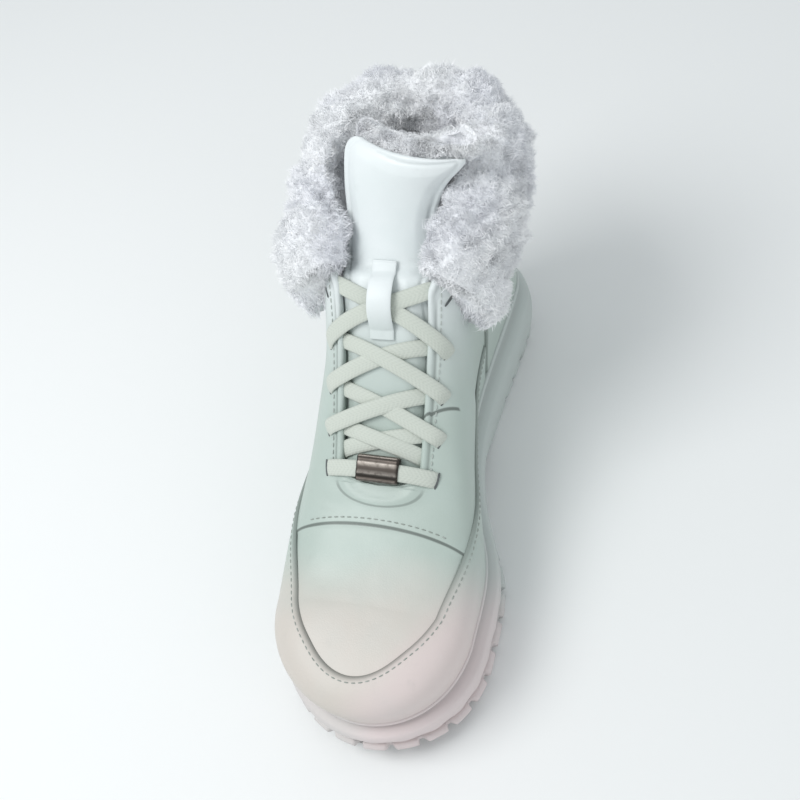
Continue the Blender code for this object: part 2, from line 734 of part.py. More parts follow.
# Tongue
def tongue_rows():
    """Points across the front of the tongue, row by row from the toe to the tip.

    Under the laces each row follows the inside of the upper; above, it follows its table."""
    rows = []
    across = np.linspace(-1, 1, 9)
    for y in np.linspace(THROAT_BOTTOM - 0.010, 0.028, 9):
        half = float(throat_half(y)) + 0.0045 - 0.005 * float(np.clip((y - 0.010) / 0.018, 0, 1))
        bulge = np.clip((y - THROAT_BOTTOM) / 0.012, 0, 1)
        centre_x = spine_x(y)
        section = []
        for a in across:
            x = centre_x + a * half
            shown = np.clip(1 - (abs(a) * half / (throat_half(y) - 0.002)) ** 6, 0, 1) * bulge
            depth = WALL + 0.0014 - (WALL - 0.0006) * shown
            section.append(over_foot(x, y) - normal_over(x, y) * depth)
        rows.append(np.array(section))
    for y, z, half, lean, fold, shift, turn in list(TONGUE_TOP.values())[1:]:
        back = np.array([0, math.sin(math.radians(lean)), -math.cos(math.radians(lean))])
        middle = np.array([shift, y, z]) * COLLAR_HEIGHT
        side = np.array([1, -turn, 0]) * half * COLLAR_HEIGHT
        section = [middle + side * a + back * fold * COLLAR_HEIGHT * a * a for a in across]
        rows.append(np.array(section))
    return np.array(rows)


def sheet_normals(grid):
    """Unit normals of a grid of points, turned to look up and towards the toe."""
    normal = np.cross(np.gradient(grid, axis=1), np.gradient(grid, axis=0))
    normal /= np.linalg.norm(normal, axis=-1, keepdims=True)
    return normal if (normal[..., 2] - normal[..., 1]).sum() > 0 else -normal


def slab(name, front, back, collection, finish):
    """A closed solid between two grids of points of the same size."""
    rows, columns = front.shape[:2]
    count = rows * columns
    faces = grid_faces(rows, columns) + grid_faces(rows, columns, start=count)
    edge = [c for c in range(columns)] + [r * columns + columns - 1 for r in range(1, rows)]
    edge += [(rows - 1) * columns + c for c in range(columns - 2, -1, -1)]
    edge += [r * columns for r in range(rows - 2, 0, -1)]
    for i, a in enumerate(edge):
        b = edge[(i + 1) % len(edge)]
        faces.append((a, b, b + count, a + count))
    points = np.concatenate([front.reshape(-1, 3), back.reshape(-1, 3)])
    return new_object(name, points, faces, collection, finish)


def make_tongue(collection, finish):
    front = tongue_rows()
    back = front - sheet_normals(front) * TONGUE_THICKNESS
    return slab("tongue", front, back, collection, finish)


def make_tongue_fur(collection, finish):
    """The fur on the back of the tongue's free end, standing above its tip."""
    rows = tongue_rows()
    normals = sheet_normals(rows)
    free, normal = rows[FUR_FROM_ROW:], normals[FUR_FROM_ROW:]
    last_step = free[-1] - free[-2]
    above = free[-1] + last_step / np.linalg.norm(last_step, axis=-1)[:, None] * FUR_ABOVE_TIP
    free = np.concatenate([free, above[None]])
    normal = np.concatenate([normal, normal[-1:]])
    front = free - normal * (TONGUE_THICKNESS + 2 * CLEARANCE)
    lumps = lock_pattern(*np.mgrid[0 : front.shape[0], 0 : front.shape[1]] * 1.7)
    back = front - normal * (TONGUE_FUR + LOCK_DEPTH * lumps)[..., None]
    return slab("tongue_fur", front, back, collection, finish)


def tongue_line():
    """Middle line of the tongue's front, with its unit normals, along the tongue's length."""
    rows = tongue_rows()
    normals = sheet_normals(rows)
    middle = rows.shape[1] // 2
    line, normal = rows[:, middle], normals[:, middle]
    length = np.concatenate([[0], np.cumsum(np.linalg.norm(np.diff(line, axis=0), axis=1))])
    return length, line, normal


def ribbon(name, line, normals, width, thickness, collection, finish):
    """A flat band along a line of points, lying square to the normals."""
    along = np.gradient(line, axis=0)
    side = np.cross(along, normals)
    side /= np.linalg.norm(side, axis=1, keepdims=True)
    up = np.cross(side, along)
    up /= np.linalg.norm(up, axis=1, keepdims=True)
    rings = []
    low = ((-0.5, -0.25), (-0.42, -0.5), (0.42, -0.5), (0.5, -0.25))
    high = ((0.5, 0.25), (0.42, 0.5), (-0.42, 0.5), (-0.5, 0.25))
    for a, b in low + high:
        rings.append(line + side * a * width + up * b * thickness)
    points = np.stack(rings, 1)
    count = len(line)
    faces = grid_faces(count, 8, closed=True)
    faces += [tuple(range(8))[::-1], tuple(range((count - 1) * 8, count * 8))]
    return new_object(name, points.reshape(-1, 3), faces, collection, finish)


def make_loop(collection, finish):
    """The strap down the front of the tongue: sewn at both ends and standing off between them."""
    length, line, normal = tongue_line()
    t = np.linspace(LOOP_FROM, LOOP_FROM + LOOP_LENGTH, 15)
    at = np.stack([np.interp(t, length, line[:, k]) for k in range(3)], 1)
    out = np.stack([np.interp(t, length, normal[:, k]) for k in range(3)], 1)
    share = (t - LOOP_FROM) / LOOP_LENGTH
    rise = 2 * CLEARANCE + LOOP_THICKNESS / 2 + LOOP_RISE * np.clip(np.sin(np.pi * share), 0, 1) ** 0.8
    return ribbon("tongue_loop", at + out * rise[:, None], out, LOOP_WIDTH, LOOP_THICKNESS, collection, finish)


# Laces
def lace_line(stops):
    """A smooth run over the foot through (x, y, height above the leather) stops."""
    stops = np.array(stops)
    t = np.linspace(0, len(stops) - 1, 3 * (len(stops) - 1) + 1)
    x, y, lift = (np.interp(t, range(len(stops)), stops[:, k]) for k in range(3))
    for _ in range(2):
        lift[1:-1] = (lift[:-2] + 2 * lift[1:-1] + lift[2:]) / 4
    normals = np.array([normal_over(a, b) for a, b in zip(x, y, strict=True)])
    line = np.array([over_foot(a, b) for a, b in zip(x, y, strict=True)]) + normals * lift[:, None]
    for _ in range(2):
        line[1:-1] = (line[:-2] + 2 * line[1:-1] + line[2:]) / 4
    return line, normals


def crossing_run(low, high, side, over, from_below):
    """Stops of one lace of a crossing, from the low eyelet on one side to under the far edge.

    The lowest crossing comes from below the leather on both sides."""
    (x0, y0), (x1, y1) = low, high
    on_leather = CLEARANCE * 3 + LACE_THICKNESS / 2
    hidden = side * (EYELET_EDGE + EDGE_GAP)
    raised = LACE_THICKNESS * 0.85 if over else 0.0
    over_tongue = on_leather - 0.0010 + raised
    if from_below:
        y_near, y_far = y0 + (y1 - y0) * 0.50, y0 + (y1 - y0) * 0.95
        middle = ((x0 + x1) / 2, (y_near + y_far) / 2, over_tongue)
        return [(x0 + hidden, y_near, -0.0008), middle, (x1 - hidden, y_far, -0.0008)]
    near, far = x0 + side * EYELET_EDGE, x1 - hidden
    y_near, y_far = y0 + (y1 - y0) * 0.13, y0 + (y1 - y0) * 0.80
    middle = ((near + far) / 2, (y_near + y_far) / 2, over_tongue)
    return [(x0, y0, on_leather), (near, y_near, on_leather), middle, (far, y_far, -0.0008)]


def make_laces(collection, cutters, finish):
    """The bar through the charm, and four crossings, each of two bands joined where they meet."""
    pairs = eyelet_places()
    (x0, y0), (x1, _) = pairs[0]
    flat = CLEARANCE * 2 + LACE_THICKNESS / 2
    bar = [(x0 + (x1 - x0) * share, y0, flat) for share in (0, 0.3, 0.5, 0.7, 1)]
    line, normals = lace_line(bar)
    middle = np.abs(line[:, 0] - (x0 + x1) / 2) < CHARM_LENGTH / 2 + 0.002
    line[middle, 2] = line[middle, 2].max() + 0.0012
    normals[middle] = normals[len(normals) // 2]
    ribbon("lace_bar", line, normals, LACE_WIDTH, LACE_THICKNESS, collection, finish)
    make_charm(line[len(line) // 2], normals[len(normals) // 2], collection)
    for i in range(EYELET_ROWS - 1):
        (left_low, right_low), (left_high, right_high) = pairs[i], pairs[i + 1]
        first_over = i % 2 == 1
        line, normals = lace_line(crossing_run(left_low, right_high, 1, first_over, i == 0))
        band = ribbon(f"lace_cross_{i + 1}", line, normals, LACE_WIDTH, LACE_THICKNESS, collection, finish)
        line, normals = lace_line(crossing_run(right_low, left_high, -1, not first_over, i == 0))
        other = ribbon(f"lace band {i + 1}", line, normals, LACE_WIDTH, LACE_THICKNESS, cutters, finish)
        hide_as_cutter(other)
        boolean(band, other, "UNION")


def make_charm(middle, normal, collection):
    """The small ribbed metal sleeve that the lowest lace runs through."""
    metal = material("dull metal", (0.36, 0.37, 0.38), 0.35, 1.0)
    across = np.array([1.0, 0, 0])
    along = np.cross(normal, across)
    along /= np.linalg.norm(along)
    up = np.cross(across, along)
    stations = np.linspace(-0.5, 0.5, 13)
    points = []
    for i, s in enumerate(stations):
        grow = 1.0 if i % 4 in (1, 2, 3) else 0.82
        centre = middle + across * s * CHARM_LENGTH
        half_w, half_t = CHARM_WIDTH / 2 * (0.94 + 0.06 * grow), CHARM_THICKNESS / 2 * grow
        for a, b in ((-1, -0.6), (-0.85, -1), (0.85, -1), (1, -0.6), (1, 0.6), (0.85, 1), (-0.85, 1), (-1, 0.6)):
            points.append(centre + along * a * half_w + up * b * half_t)
    outer = len(points)
    hole_w, hole_t = LACE_WIDTH / 2 + 2 * CLEARANCE, LACE_THICKNESS / 2 + CLEARANCE
    for s in (-0.5, 0.5):
        centre = middle + across * s * CHARM_LENGTH
        for a, b in ((-1, -0.6), (-0.85, -1), (0.85, -1), (1, -0.6), (1, 0.6), (0.85, 1), (-0.85, 1), (-1, 0.6)):
            points.append(centre + along * a * hole_w + up * b * hole_t)
    faces = grid_faces(13, 8, closed=True) + grid_faces(2, 8, closed=True, start=outer)
    for i in range(8):
        j = (i + 1) % 8
        faces.append((i, j, outer + j, outer + i))
        last = outer - 8
        faces.append((last + i, last + j, outer + 8 + j, outer + 8 + i))
    return new_object("lace_charm", points, faces, collection, metal)


# Fur cuff and pull tab
def lock_pattern(a, b):
    """Lumps of fur between 0 and 1, worked out from waves that never quite repeat."""
    wave = np.sin(a * 1.9 + 1.3 * np.sin(b * 0.9)) * np.cos(b * 1.3 + 0.8 * np.sin(a * 0.7 + 1.1))
    return 0.5 + 0.5 * wave


def collar_point(u, down, out):
    """A point beside the collar: down its skin from the top edge and out along its normal."""
    v = np.linspace(0.3, 1, 40)
    line = skin(np.full_like(v, u), v)
    line_out = skin(np.full_like(v, u), v, 1.0) - line
    length = np.concatenate([np.cumsum(np.linalg.norm(np.diff(line[::-1], axis=0), axis=1)[::1])])
    length = np.concatenate([[0], length])
    flipped, normals = line[::-1], line_out[::-1]
    at = np.array([np.interp(down, length, flipped[:, k]) for k in range(3)])
    normal = np.array([np.interp(down, length, normals[:, k]) for k in range(3)])
    if down < 0:
        edge = flipped[0] - flipped[1]
        at = at + edge / np.linalg.norm(edge) * -down
    return at + normal * out


def cuff_section(around):
    """The section of the fur roll as (down, out) pairs, the leather's slot last.

    around runs from -1 at the lateral front end to 1 at the medial one. The flaps beside the tongue
    hang lower and stand out further, and have little fur on their inner side."""
    front = np.clip((abs(around) - 0.62) / 0.38, 0, 1)
    swell = 1 + 0.08 * np.sin(around * 12) + 0.05 * np.sin(around * 26 + 1)
    hem = CUFF_DROP * (1 + 0.08 * np.sin(around * 9 + 0.5) + FLAP_DROP * front)
    at_heel = np.exp(-((around / 0.16) ** 2))
    out = CUFF_OUT * swell * (1 + FLAP_OUT * front) * (1 - HEEL_TRIM * at_heel)
    rise = CUFF_RISE * swell * (1 - 0.35 * front)
    beside_tongue = np.clip((abs(around) - 0.38) / 0.34, 0, 1)
    thin = 1 - 0.84 * beside_tongue
    gap = (2.5 + 1.5 * beside_tongue) * CLEARANCE
    inner, inside = gap + CUFF_IN * swell * thin, CUFF_INSIDE * (1 - 0.80 * beside_tongue)
    soft = [
        (hem + 0.0015, out * 0.45), (hem * 0.93, out * 0.82), (hem * 0.68, out), (hem * 0.40, out * 1.04),
        (hem * 0.12, out * 0.95), (-rise * 0.45, out * 0.68), (-rise * 0.88, out * 0.28), (-rise, -WALL),
        (-rise * 0.80, -WALL - inner * 0.55), (-rise * 0.25, -WALL - inner * 0.92),
        (inside * 0.30, -WALL - inner), (inside * 0.70, -WALL - inner * 0.9), (inside, -WALL - inner * 0.5),
    ]
    slot = [
        (inside * 0.98, -WALL - gap), (inside * 0.5, -WALL - gap), (-gap, -WALL - gap), (-gap, gap),
        (hem * 0.25, gap), (hem * 0.50, gap), (hem * 0.75, gap), (hem * 0.95, gap),
    ]
    return soft, slot


def make_cuff(collection, finish):
    """The shearling roll over the collar, from one side of the tongue round the heel to the other."""
    end = float(position_at(CUFF_FRONT))
    columns = columns_between(-end, end)
    rings = []
    for i, u in enumerate(columns):
        soft, slot = cuff_section(u / end)
        close = max(0.0, (abs(u) / end - 0.90) / 0.10) ** 2
        ring = []
        for j, (down, out) in enumerate(soft):
            outer = out > -WALL / 2
            inner_points = 0 < j < len(soft) - 1
            lump = LOCK_DEPTH * (lock_pattern(i * 1.15, j * 1.45) - 0.35) * (1 - close) * inner_points
            if outer:
                out = out * (1 - 0.40 * close) + lump
            elif abs(u) / end < 0.4:
                out = out - max(lump, 0)
            down = down * (1 - 0.15 * close) - (lump if down < 0 else 0)
            ring.append(collar_point(np.mod(u, 2), down, out))
        for down, out in slot:
            ring.append(collar_point(np.mod(u, 2), down * (1 - 0.15 * close) if down > 0 else down, out))
        rings.append(ring)
    sides = len(rings[0])
    count = len(rings)
    points = np.array(rings).reshape(-1, 3)
    faces = grid_faces(count, sides, closed=True)
    faces += [tuple(range(sides))[::-1], tuple(range((count - 1) * sides, count * sides))]
    return new_object("fur_cuff", points, faces, collection, finish)


def make_pull_tab(collection, finish):
    """The folded strap up the back seam, from the counter's edge to under the fur."""
    half = TAB_WIDTH / 2 / 0.40
    u = columns_between(-half, half)
    base = edge_curve(COUNTER_EDGE, "height", np.abs(u)) * COLLAR_HEIGHT + 0.0008
    share = np.linspace(0, 1, 7)
    grid = []
    for s in share:
        level = level_of(np.mod(u, 2), base + (TAB_TOP - base) * s)
        grid.append(skin(np.mod(u, 2), level, CLEARANCE * 1.5))
    front = np.array(grid)
    start = level_of(np.mod(u, 2), base)
    normal = skin(np.mod(u, 2), start, 1.0) - skin(np.mod(u, 2), start)
    fold = TAB_THICKNESS * (1 + 0.5 * share**4)
    back = front + normal[None] * fold[:, None, None]
    return slab("heel_pull_tab", front, back, collection, finish)


def make_all():
    clear_scene()
    scene = bpy.context.scene.collection
    boot = bpy.data.collections.new("winter boot")
    cutters = bpy.data.collections.new("cutters")
    scene.children.link(boot)
    scene.children.link(cutters)
    leather = material("white leather", (0.80, 0.82, 0.79), 0.42)
    rubber = material("white rubber", (0.82, 0.81, 0.79), 0.55)
    tread = material("cream rubber", (0.78, 0.77, 0.73), 0.65)
    felt = material("grey footbed", (0.62, 0.62, 0.60), 0.95)
    fur = material("white shearling", (0.80, 0.80, 0.81), 1.0)
    woven = material("white lace", (0.84, 0.84, 0.82), 0.9)
    make_midsole(boot, rubber)
    make_outsole(boot, cutters, tread)
    make_insole(boot, felt)
    make_upper(boot, cutters, leather)
    make_mudguard(boot, leather)
    make_counter(boot, leather)
    make_tongue(boot, leather)
    make_tongue_fur(boot, fur)
    make_loop(boot, leather)
    make_cuff(boot, fur)
    make_pull_tab(boot, leather)
    make_laces(boot, cutters, woven)


make_all()
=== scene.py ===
# %% [markdown]
# # A winter boot, dressed over its frame
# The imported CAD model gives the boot's true sizes. This lesson loads it, hides the plain solids and
# puts detailed pieces in the same places. First the frame and its box.

import math

import bmesh
import bpy
import numpy as np
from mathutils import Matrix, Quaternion, Vector


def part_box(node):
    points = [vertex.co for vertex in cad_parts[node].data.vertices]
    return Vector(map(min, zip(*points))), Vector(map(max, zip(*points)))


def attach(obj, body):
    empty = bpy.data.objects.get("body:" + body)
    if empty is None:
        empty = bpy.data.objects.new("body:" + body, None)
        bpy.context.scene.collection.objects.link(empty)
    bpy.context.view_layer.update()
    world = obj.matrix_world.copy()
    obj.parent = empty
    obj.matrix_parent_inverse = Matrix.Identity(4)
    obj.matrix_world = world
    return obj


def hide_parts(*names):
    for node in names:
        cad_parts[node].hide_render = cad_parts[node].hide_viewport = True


for name in ("Cube", "Light", "Camera"):
    if name in bpy.data.objects:
        bpy.data.objects.remove(bpy.data.objects[name])
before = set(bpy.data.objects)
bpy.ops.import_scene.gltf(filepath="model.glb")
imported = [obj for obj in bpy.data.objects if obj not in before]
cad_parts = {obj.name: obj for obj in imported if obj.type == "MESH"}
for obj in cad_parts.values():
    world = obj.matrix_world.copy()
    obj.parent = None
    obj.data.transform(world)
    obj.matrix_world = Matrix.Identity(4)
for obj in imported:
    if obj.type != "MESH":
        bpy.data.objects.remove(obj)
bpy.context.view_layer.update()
print("frame loaded with", len(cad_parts), "pieces")
RANDOM = np.random.default_rng(7)

# %% [markdown]
# A boot is drawn on a last, a foot-shaped form. The same short tables that shaped the solids shape
# the detailed pieces: main sizes first, then a row for each section from heel to toe.

# %% Main sizes
SOLE_LENGTH = 0.285
BALL_WIDTH = 0.106  # the sole across the ball of the foot
SOLE_OVERHANG = 0.0075  # the sole's widest line stands this far outside the foot of the upper
COLLAR_HEIGHT = 0.158  # the leather's top edge at the back, above the floor
# Heights of the sole under the foot, above the floor
HEEL_STACK = 0.045
BALL_STACK = 0.032
TOE_STACK = 0.034
TOE_SPRING = 0.011  # the tread's rise at the tip
ARCH_LIFT = 0.006  # the tread's rise under the arch
HEEL_BEVEL = 0.003  # the tread's rise at the very back
OUTSOLE_THICKNESS = 0.0075
RIM_HEIGHT = 0.005  # the sole's cup stands this much higher than the seat of the upper
LUG_DEPTH = 0.0042
LUG_GROOVE = 0.0042  # width of the grooves between lugs
LUG_PITCH = 0.0135
LUG_FIRST = -0.128  # y of the first groove
ARCH_FRONT = 0.000  # y between which the tread has no lugs
ARCH_BACK = 0.040
EDGE_PITCH = 0.015  # from lug to lug along the edge of the forefoot
LUG_OUT = 0.0030  # how far those lugs stand out past the rest of the tread's edge
NOTCH_REACH = 0.0045  # how far the notches between them run inwards
CLEARANCE = 0.0003  # between touching pieces
# Upper
WALL = 0.0024
THROAT_BOTTOM = -0.041  # y of the front end of the lace opening
THROAT_TOP = 0.058  # y past which the opening has cut through the collar
THROAT_LOW_HALF = 0.0185  # half width of the opening at its bottom
THROAT_HIGH_HALF = 0.0225  # and at the collar
EYELET_EDGE = 0.0085  # from the opening's edge to an eyelet's centre
OVERLAY = 0.0013  # thickness of the mudguard and the heel counter
# Laces, loops and trim
LACE_WIDTH = 0.0078
LACE_THICKNESS = 0.0015
EDGE_GAP = 0.0026  # from a hidden lace end to the edge of the lace opening
LOOP_WIDTH = 0.0115
LOOP_THICKNESS = 0.0013
TAB_WIDTH = 0.036
CHARM_LENGTH = 0.020
CHARM_WIDTH = 0.0125
CHARM_THICKNESS = 0.0052
LOOP_FROM = 0.080  # from the tongue's buried end to the strap's lower end, along the tongue
LOOP_LENGTH = 0.036
LOOP_RISE = 0.0054  # how far the strap stands off the tongue
TAB_THICKNESS = 0.0026
# Tongue, insole and fur
TONGUE_THICKNESS = 0.0045
TONGUE_FUR = 0.0085
CUFF_DROP = 0.033  # how far the turned-out fur hangs down the outside
TAB_TOP = COLLAR_HEIGHT - HEEL_STACK - CUFF_DROP - 0.004  # top of the pull tab, under that fur
CUFF_INSIDE = 0.026  # how far the same fur runs down the inside
CUFF_OUT = 0.0165  # depth of the fur outside the leather
CUFF_IN = 0.0095  # depth of the fur inside the leather
CUFF_RISE = 0.0105  # height of the roll over the leather's top edge
HEEL_TRIM = 0.30  # share of that depth missing at the back of the heel
LOCK_DEPTH = 0.0042  # how far a lock of fur stands out of the roll
CUFF_FRONT = 0.031  # y of the fur's two ends beside the tongue
FLAP_DROP = 0.35  # the flaps beside the tongue hang this share lower
FLAP_OUT = 0.30  # and stand this share further out
FUR_FROM_ROW = 9  # the tongue's row where its fur begins
FUR_ABOVE_TIP = 0.009
HALF_BALL = BALL_WIDTH / 2
HALF_LENGTH = SOLE_LENGTH / 2
EYELET_ROWS = 5
EYELET_FIRST = -0.035  # y of the lowest pair
EYELET_STEP = 0.0157  # from pair to pair, along y

# %% [markdown]
# The tables: the plan of the sole, the profiles of the upper, the side of the sole and the edges of
# the panels. Lengths are shares of the named sizes.

# %% Tables of sections
# Plan of the sole, a row for each station from the back of the heel to the tip of the toe.
# station: where the row's centre lies, as a share of the length from the heel;
# turn: the direction that the row looks in, in degrees from straight back;
# lateral, medial: distance from that centre to the sole's widest line, as shares of HALF_BALL;
# centre: how far the row's centre lies to the medial side, as a share of HALF_BALL;
# body: the half width of the upper that its profile is scaled by, as a share of HALF_BALL.
PLAN = {
    "names": ("station", "turn", "lateral", "medial", "centre", "body"),
    "heel back": (0.140, 0, 0.753, 0.753, 0.00, 0.612),
    "heel corner": (0.140, 48, 0.765, 0.765, 0.00, 0.624),
    "heel side": (0.140, 90, 0.785, 0.765, 0.00, 0.640),
    "seat front": (0.270, 90, 0.795, 0.700, 0.00, 0.640),
    "collar front": (0.350, 90, 0.795, 0.655, 0.00, 0.640),
    "throat top": (0.410, 90, 0.805, 0.632, 0.01, 0.655),
    "waist": (0.475, 90, 0.835, 0.645, 0.02, 0.690),
    "shank front": (0.560, 90, 0.895, 0.745, 0.03, 0.750),
    "ball": (0.680, 90, 0.955, 0.970, 0.06, 0.822),
    "toe side": (0.825, 90, 0.925, 0.955, 0.11, 0.798),
    "toe corner": (0.825, 135, 0.885, 0.960, 0.11, 0.782),
    "toe tip": (0.825, 180, 0.941, 0.941, 0.11, 0.800),
}

# Profiles of the upper, a row for each station of the plan. Each profile is a smooth curve drawn by
# six points: foot, wall, belly, shoulder, crown, top. out: distance from the row's centre, for the
# wall as a share of the foot's own and for the others as a share of the body; up: height as a share
# of the way from the foot to the top; top_height: a share of COLLAR_HEIGHT. Where top_out is 0 the
# two sides meet on the ridge of the foot.
PROFILES = {
    "names": (
        "wall_out", "wall_up", "belly_out", "belly_up", "shoulder_out", "shoulder_up",
        "crown_out", "crown_up", "top_out", "top_height",
    ),
    "heel back": (1.01, 0.10, 1.18, 0.34, 0.86, 0.62, 0.80, 0.85, 0.88, 1.000),
    "heel corner": (1.01, 0.10, 1.14, 0.34, 0.90, 0.62, 0.88, 0.85, 0.95, 1.000),
    "heel side": (1.01, 0.10, 1.08, 0.36, 0.95, 0.62, 1.02, 0.85, 1.10, 0.995),
    "seat front": (1.01, 0.10, 1.05, 0.38, 0.96, 0.62, 1.02, 0.85, 1.02, 0.990),
    "collar front": (1.01, 0.10, 1.05, 0.38, 1.00, 0.66, 0.98, 0.86, 0.76, 0.960),
    "throat top": (1.01, 0.11, 1.06, 0.40, 1.01, 0.72, 0.88, 0.92, 0.62, 0.885),
    "waist": (1.01, 0.12, 1.07, 0.42, 1.00, 0.80, 0.50, 1.00, 0.00, 0.765),
    "shank front": (1.01, 0.13, 1.06, 0.48, 0.92, 0.88, 0.42, 1.00, 0.00, 0.605),
    "ball": (1.01, 0.16, 1.09, 0.55, 0.86, 0.92, 0.38, 1.00, 0.00, 0.462),
    "toe side": (1.01, 0.20, 1.13, 0.62, 0.86, 0.96, 0.38, 1.00, 0.00, 0.385),
    "toe corner": (1.01, 0.20, 1.14, 0.62, 0.88, 0.90, 0.40, 0.97, 0.00, 0.385),
    "toe tip": (1.01, 0.20, 1.14, 0.62, 0.88, 0.84, 0.42, 0.95, 0.00, 0.385),
}

# Side of the sole from the tread up: out is an inset from the widest line as a share of SOLE_OVERHANG,
# up a share of the height from the tread to the rim.
SIDE = {
    "names": ("inset", "up"),
    "tread edge": (0.45, 0.00),
    "low wall": (0.10, 0.16),
    "widest": (0.00, 0.40),
    "ledge edge": (0.12, 0.60),
    "ledge top": (0.45, 0.675),
    "groove": (0.86, 0.73),
    "band": (0.92, 0.84),
    "rim": (0.62, 0.95),
    "rim top": (0.70, 1.00),
}

# Top edges of the overlays: share of the way round from heel (0) to toe (1), with the level reached
# between the upper's foot (0) and its top (1), or the height as a share of COLLAR_HEIGHT.
MUDGUARD_EDGE = {
    "names": ("around", "level"),
    "back end": (0.345, 0.26),
    "waist": (0.46, 0.31),
    "shank front": (0.58, 0.38),
    "ball": (0.665, 0.51),
    "toe shoulder": (0.765, 0.665),
    "toe side": (0.86, 0.735),
    "toe tip": (1.00, 0.71),
}

COUNTER_EDGE = {
    "names": ("around", "height"),
    "back dip": (0.00, 0.300),
    "dip side": (0.06, 0.318),
    "hump": (0.135, 0.395),
    "side": (0.22, 0.400),
    "front": (0.34, 0.370),
}

# Free upper part of the tongue above the throat: centre line and half width in shares of COLLAR_HEIGHT,
# lean of its section in degrees from straight down, how far its edges fold back, how far it leans to
# the medial side, and its turn about the vertical.
TONGUE_TOP = {
    "names": ("y", "z", "half_width", "lean", "fold", "shift", "turn"),
    "leaving": (0.235, 0.905, 0.142, 40, 0.045, 0.000, 0.00),
    "loop top": (0.300, 0.990, 0.136, 55, 0.045, 0.000, 0.00),
    "neck": (0.344, 1.072, 0.152, 66, 0.050, 0.012, 0.05),
    "blade": (0.368, 1.135, 0.178, 74, 0.055, 0.040, 0.15),
    "tip": (0.380, 1.182, 0.194, 80, 0.055, 0.070, 0.24),
}

# %% [markdown]
# Each table is read as a smooth curve: a periodic cubic spline round the foot, and a cubic B-spline
# with six control points up each profile, P(v) = sum of N_i(v) P_i.

# %% Curves
def run_along(points, axis=0):
    """Distance along a line, or along one axis of a grid of points, from 0 at its start."""
    steps = np.cumsum(np.linalg.norm(np.diff(points, axis=axis), axis=-1), axis)
    return np.concatenate([np.zeros_like(np.take(steps, [0], axis)), steps], axis)


def read_line(at, run, points):
    """Points of a line at given distances along it."""
    return np.stack([np.interp(at, run, points[:, k]) for k in range(3)], -1)


def unit(vectors):
    """Vectors scaled to length 1."""
    return vectors / np.maximum(np.linalg.norm(vectors, axis=-1, keepdims=True), 1e-12)


def circle(count):
    """Even angles round a full turn."""
    return np.linspace(0, 2 * np.pi, count, endpoint=False)


def squared(wave, power):
    """A wave raised to a power below 1 with its sign kept, which makes a circle's outline squarer."""
    return np.sign(wave) * np.abs(wave) ** power


def quarter_circle(share):
    """The height of a rounded edge: sqrt(1 - (1 - t)^2)."""
    return np.sqrt(1 - (1 - np.clip(share, 0, 1)) ** 2)


def soft_step(share):
    """A soft step from 0 to 1: 3 t^2 - 2 t^3."""
    share = np.clip(share, 0, 1)
    return share * share * (3 - 2 * share)


def hermite(t, step, values, slopes, i):
    """The cubic from values[i] to values[i + 1] with given slopes, t from 0 to 1 over a step."""
    return (
        (2 * t**3 - 3 * t**2 + 1) * values[i] + (t**3 - 2 * t**2 + t) * step * slopes[i]
        + (3 * t**2 - 2 * t**3) * values[i + 1] + (t**3 - t**2) * step * slopes[i + 1]
    )


def cell_of(knots, at):
    """The number of the stretch between knots in which each value lies."""
    return np.clip(np.searchsorted(knots, at, side="right") - 1, 0, len(knots) - 2)


def column_of(table, name):
    """One named column of a table of sections, as an array."""
    at = table["names"].index(name)
    return np.array([row[at] for key, row in table.items() if key != "names"], float)


def ring_spline(knots, values, at):
    """A smooth closed curve through values at knots, whose last knot closes on the first.

    Between knots it is a * y0 + b * y1 + ((a^3 - a) * m0 + (b^3 - b) * m1) * h^2 / 6 with a = 1 - b;
    the bends m follow from equal slopes at each knot."""
    knots, values = np.asarray(knots, float), np.asarray(values, float)
    steps = np.diff(knots)
    count = len(steps)
    system = np.zeros((count, count))
    right = np.zeros(count)
    rise = np.diff(np.append(values, values[0])) / steps
    for i in range(count):
        before = (i - 1) % count
        system[i, before] += steps[before]
        system[i, i] += 2 * (steps[before] + steps[i])
        system[i, (i + 1) % count] += steps[i]
        right[i] = 6 * (rise[i] - rise[before])
    bend = np.linalg.solve(system, right)
    at = np.mod(np.asarray(at, float) - knots[0], knots[-1] - knots[0]) + knots[0]
    i = cell_of(knots, at)
    j, h = (i + 1) % count, steps[i]
    a = (knots[i + 1] - at) / h
    b = 1 - a
    return a * values[i] + b * values[j] + ((a**3 - a) * bend[i] + (b**3 - b) * bend[j]) * h * h / 6


def edge_curve(table, column, at):
    """A soft curve through a short table of an edge, level at both ends."""
    x, y = column_of(table, table["names"][0]), column_of(table, column)
    slope = np.gradient(y, x)
    slope[0] = slope[-1] = 0.0
    at = np.clip(at, x[0], x[-1])
    i = cell_of(x, at)
    step = x[i + 1] - x[i]
    return hermite((at - x[i]) / step, step, y, slope, i)


def profile_weights(v):
    """Weights of the six points of a profile at v from 0 to 1: a clamped cubic B-spline."""
    knots = np.array([0, 0, 0, 0, 1 / 3, 2 / 3, 1, 1, 1, 1])
    v = np.clip(np.asarray(v, float), 0, 1 - 1e-9)
    basis = [np.where((v >= knots[i]) & (v < knots[i + 1]), 1.0, 0.0) for i in range(9)]
    for degree in (1, 2, 3):
        raised = []
        for i in range(9 - degree):
            left = knots[i + degree] - knots[i]
            right = knots[i + degree + 1] - knots[i + 1]
            part = np.zeros_like(v)
            if left > 0:
                part = part + (v - knots[i]) / left * basis[i]
            if right > 0:
                part = part + (knots[i + degree + 1] - v) / right * basis[i + 1]
            raised.append(part)
        basis = raised
    return np.stack(basis, -1)


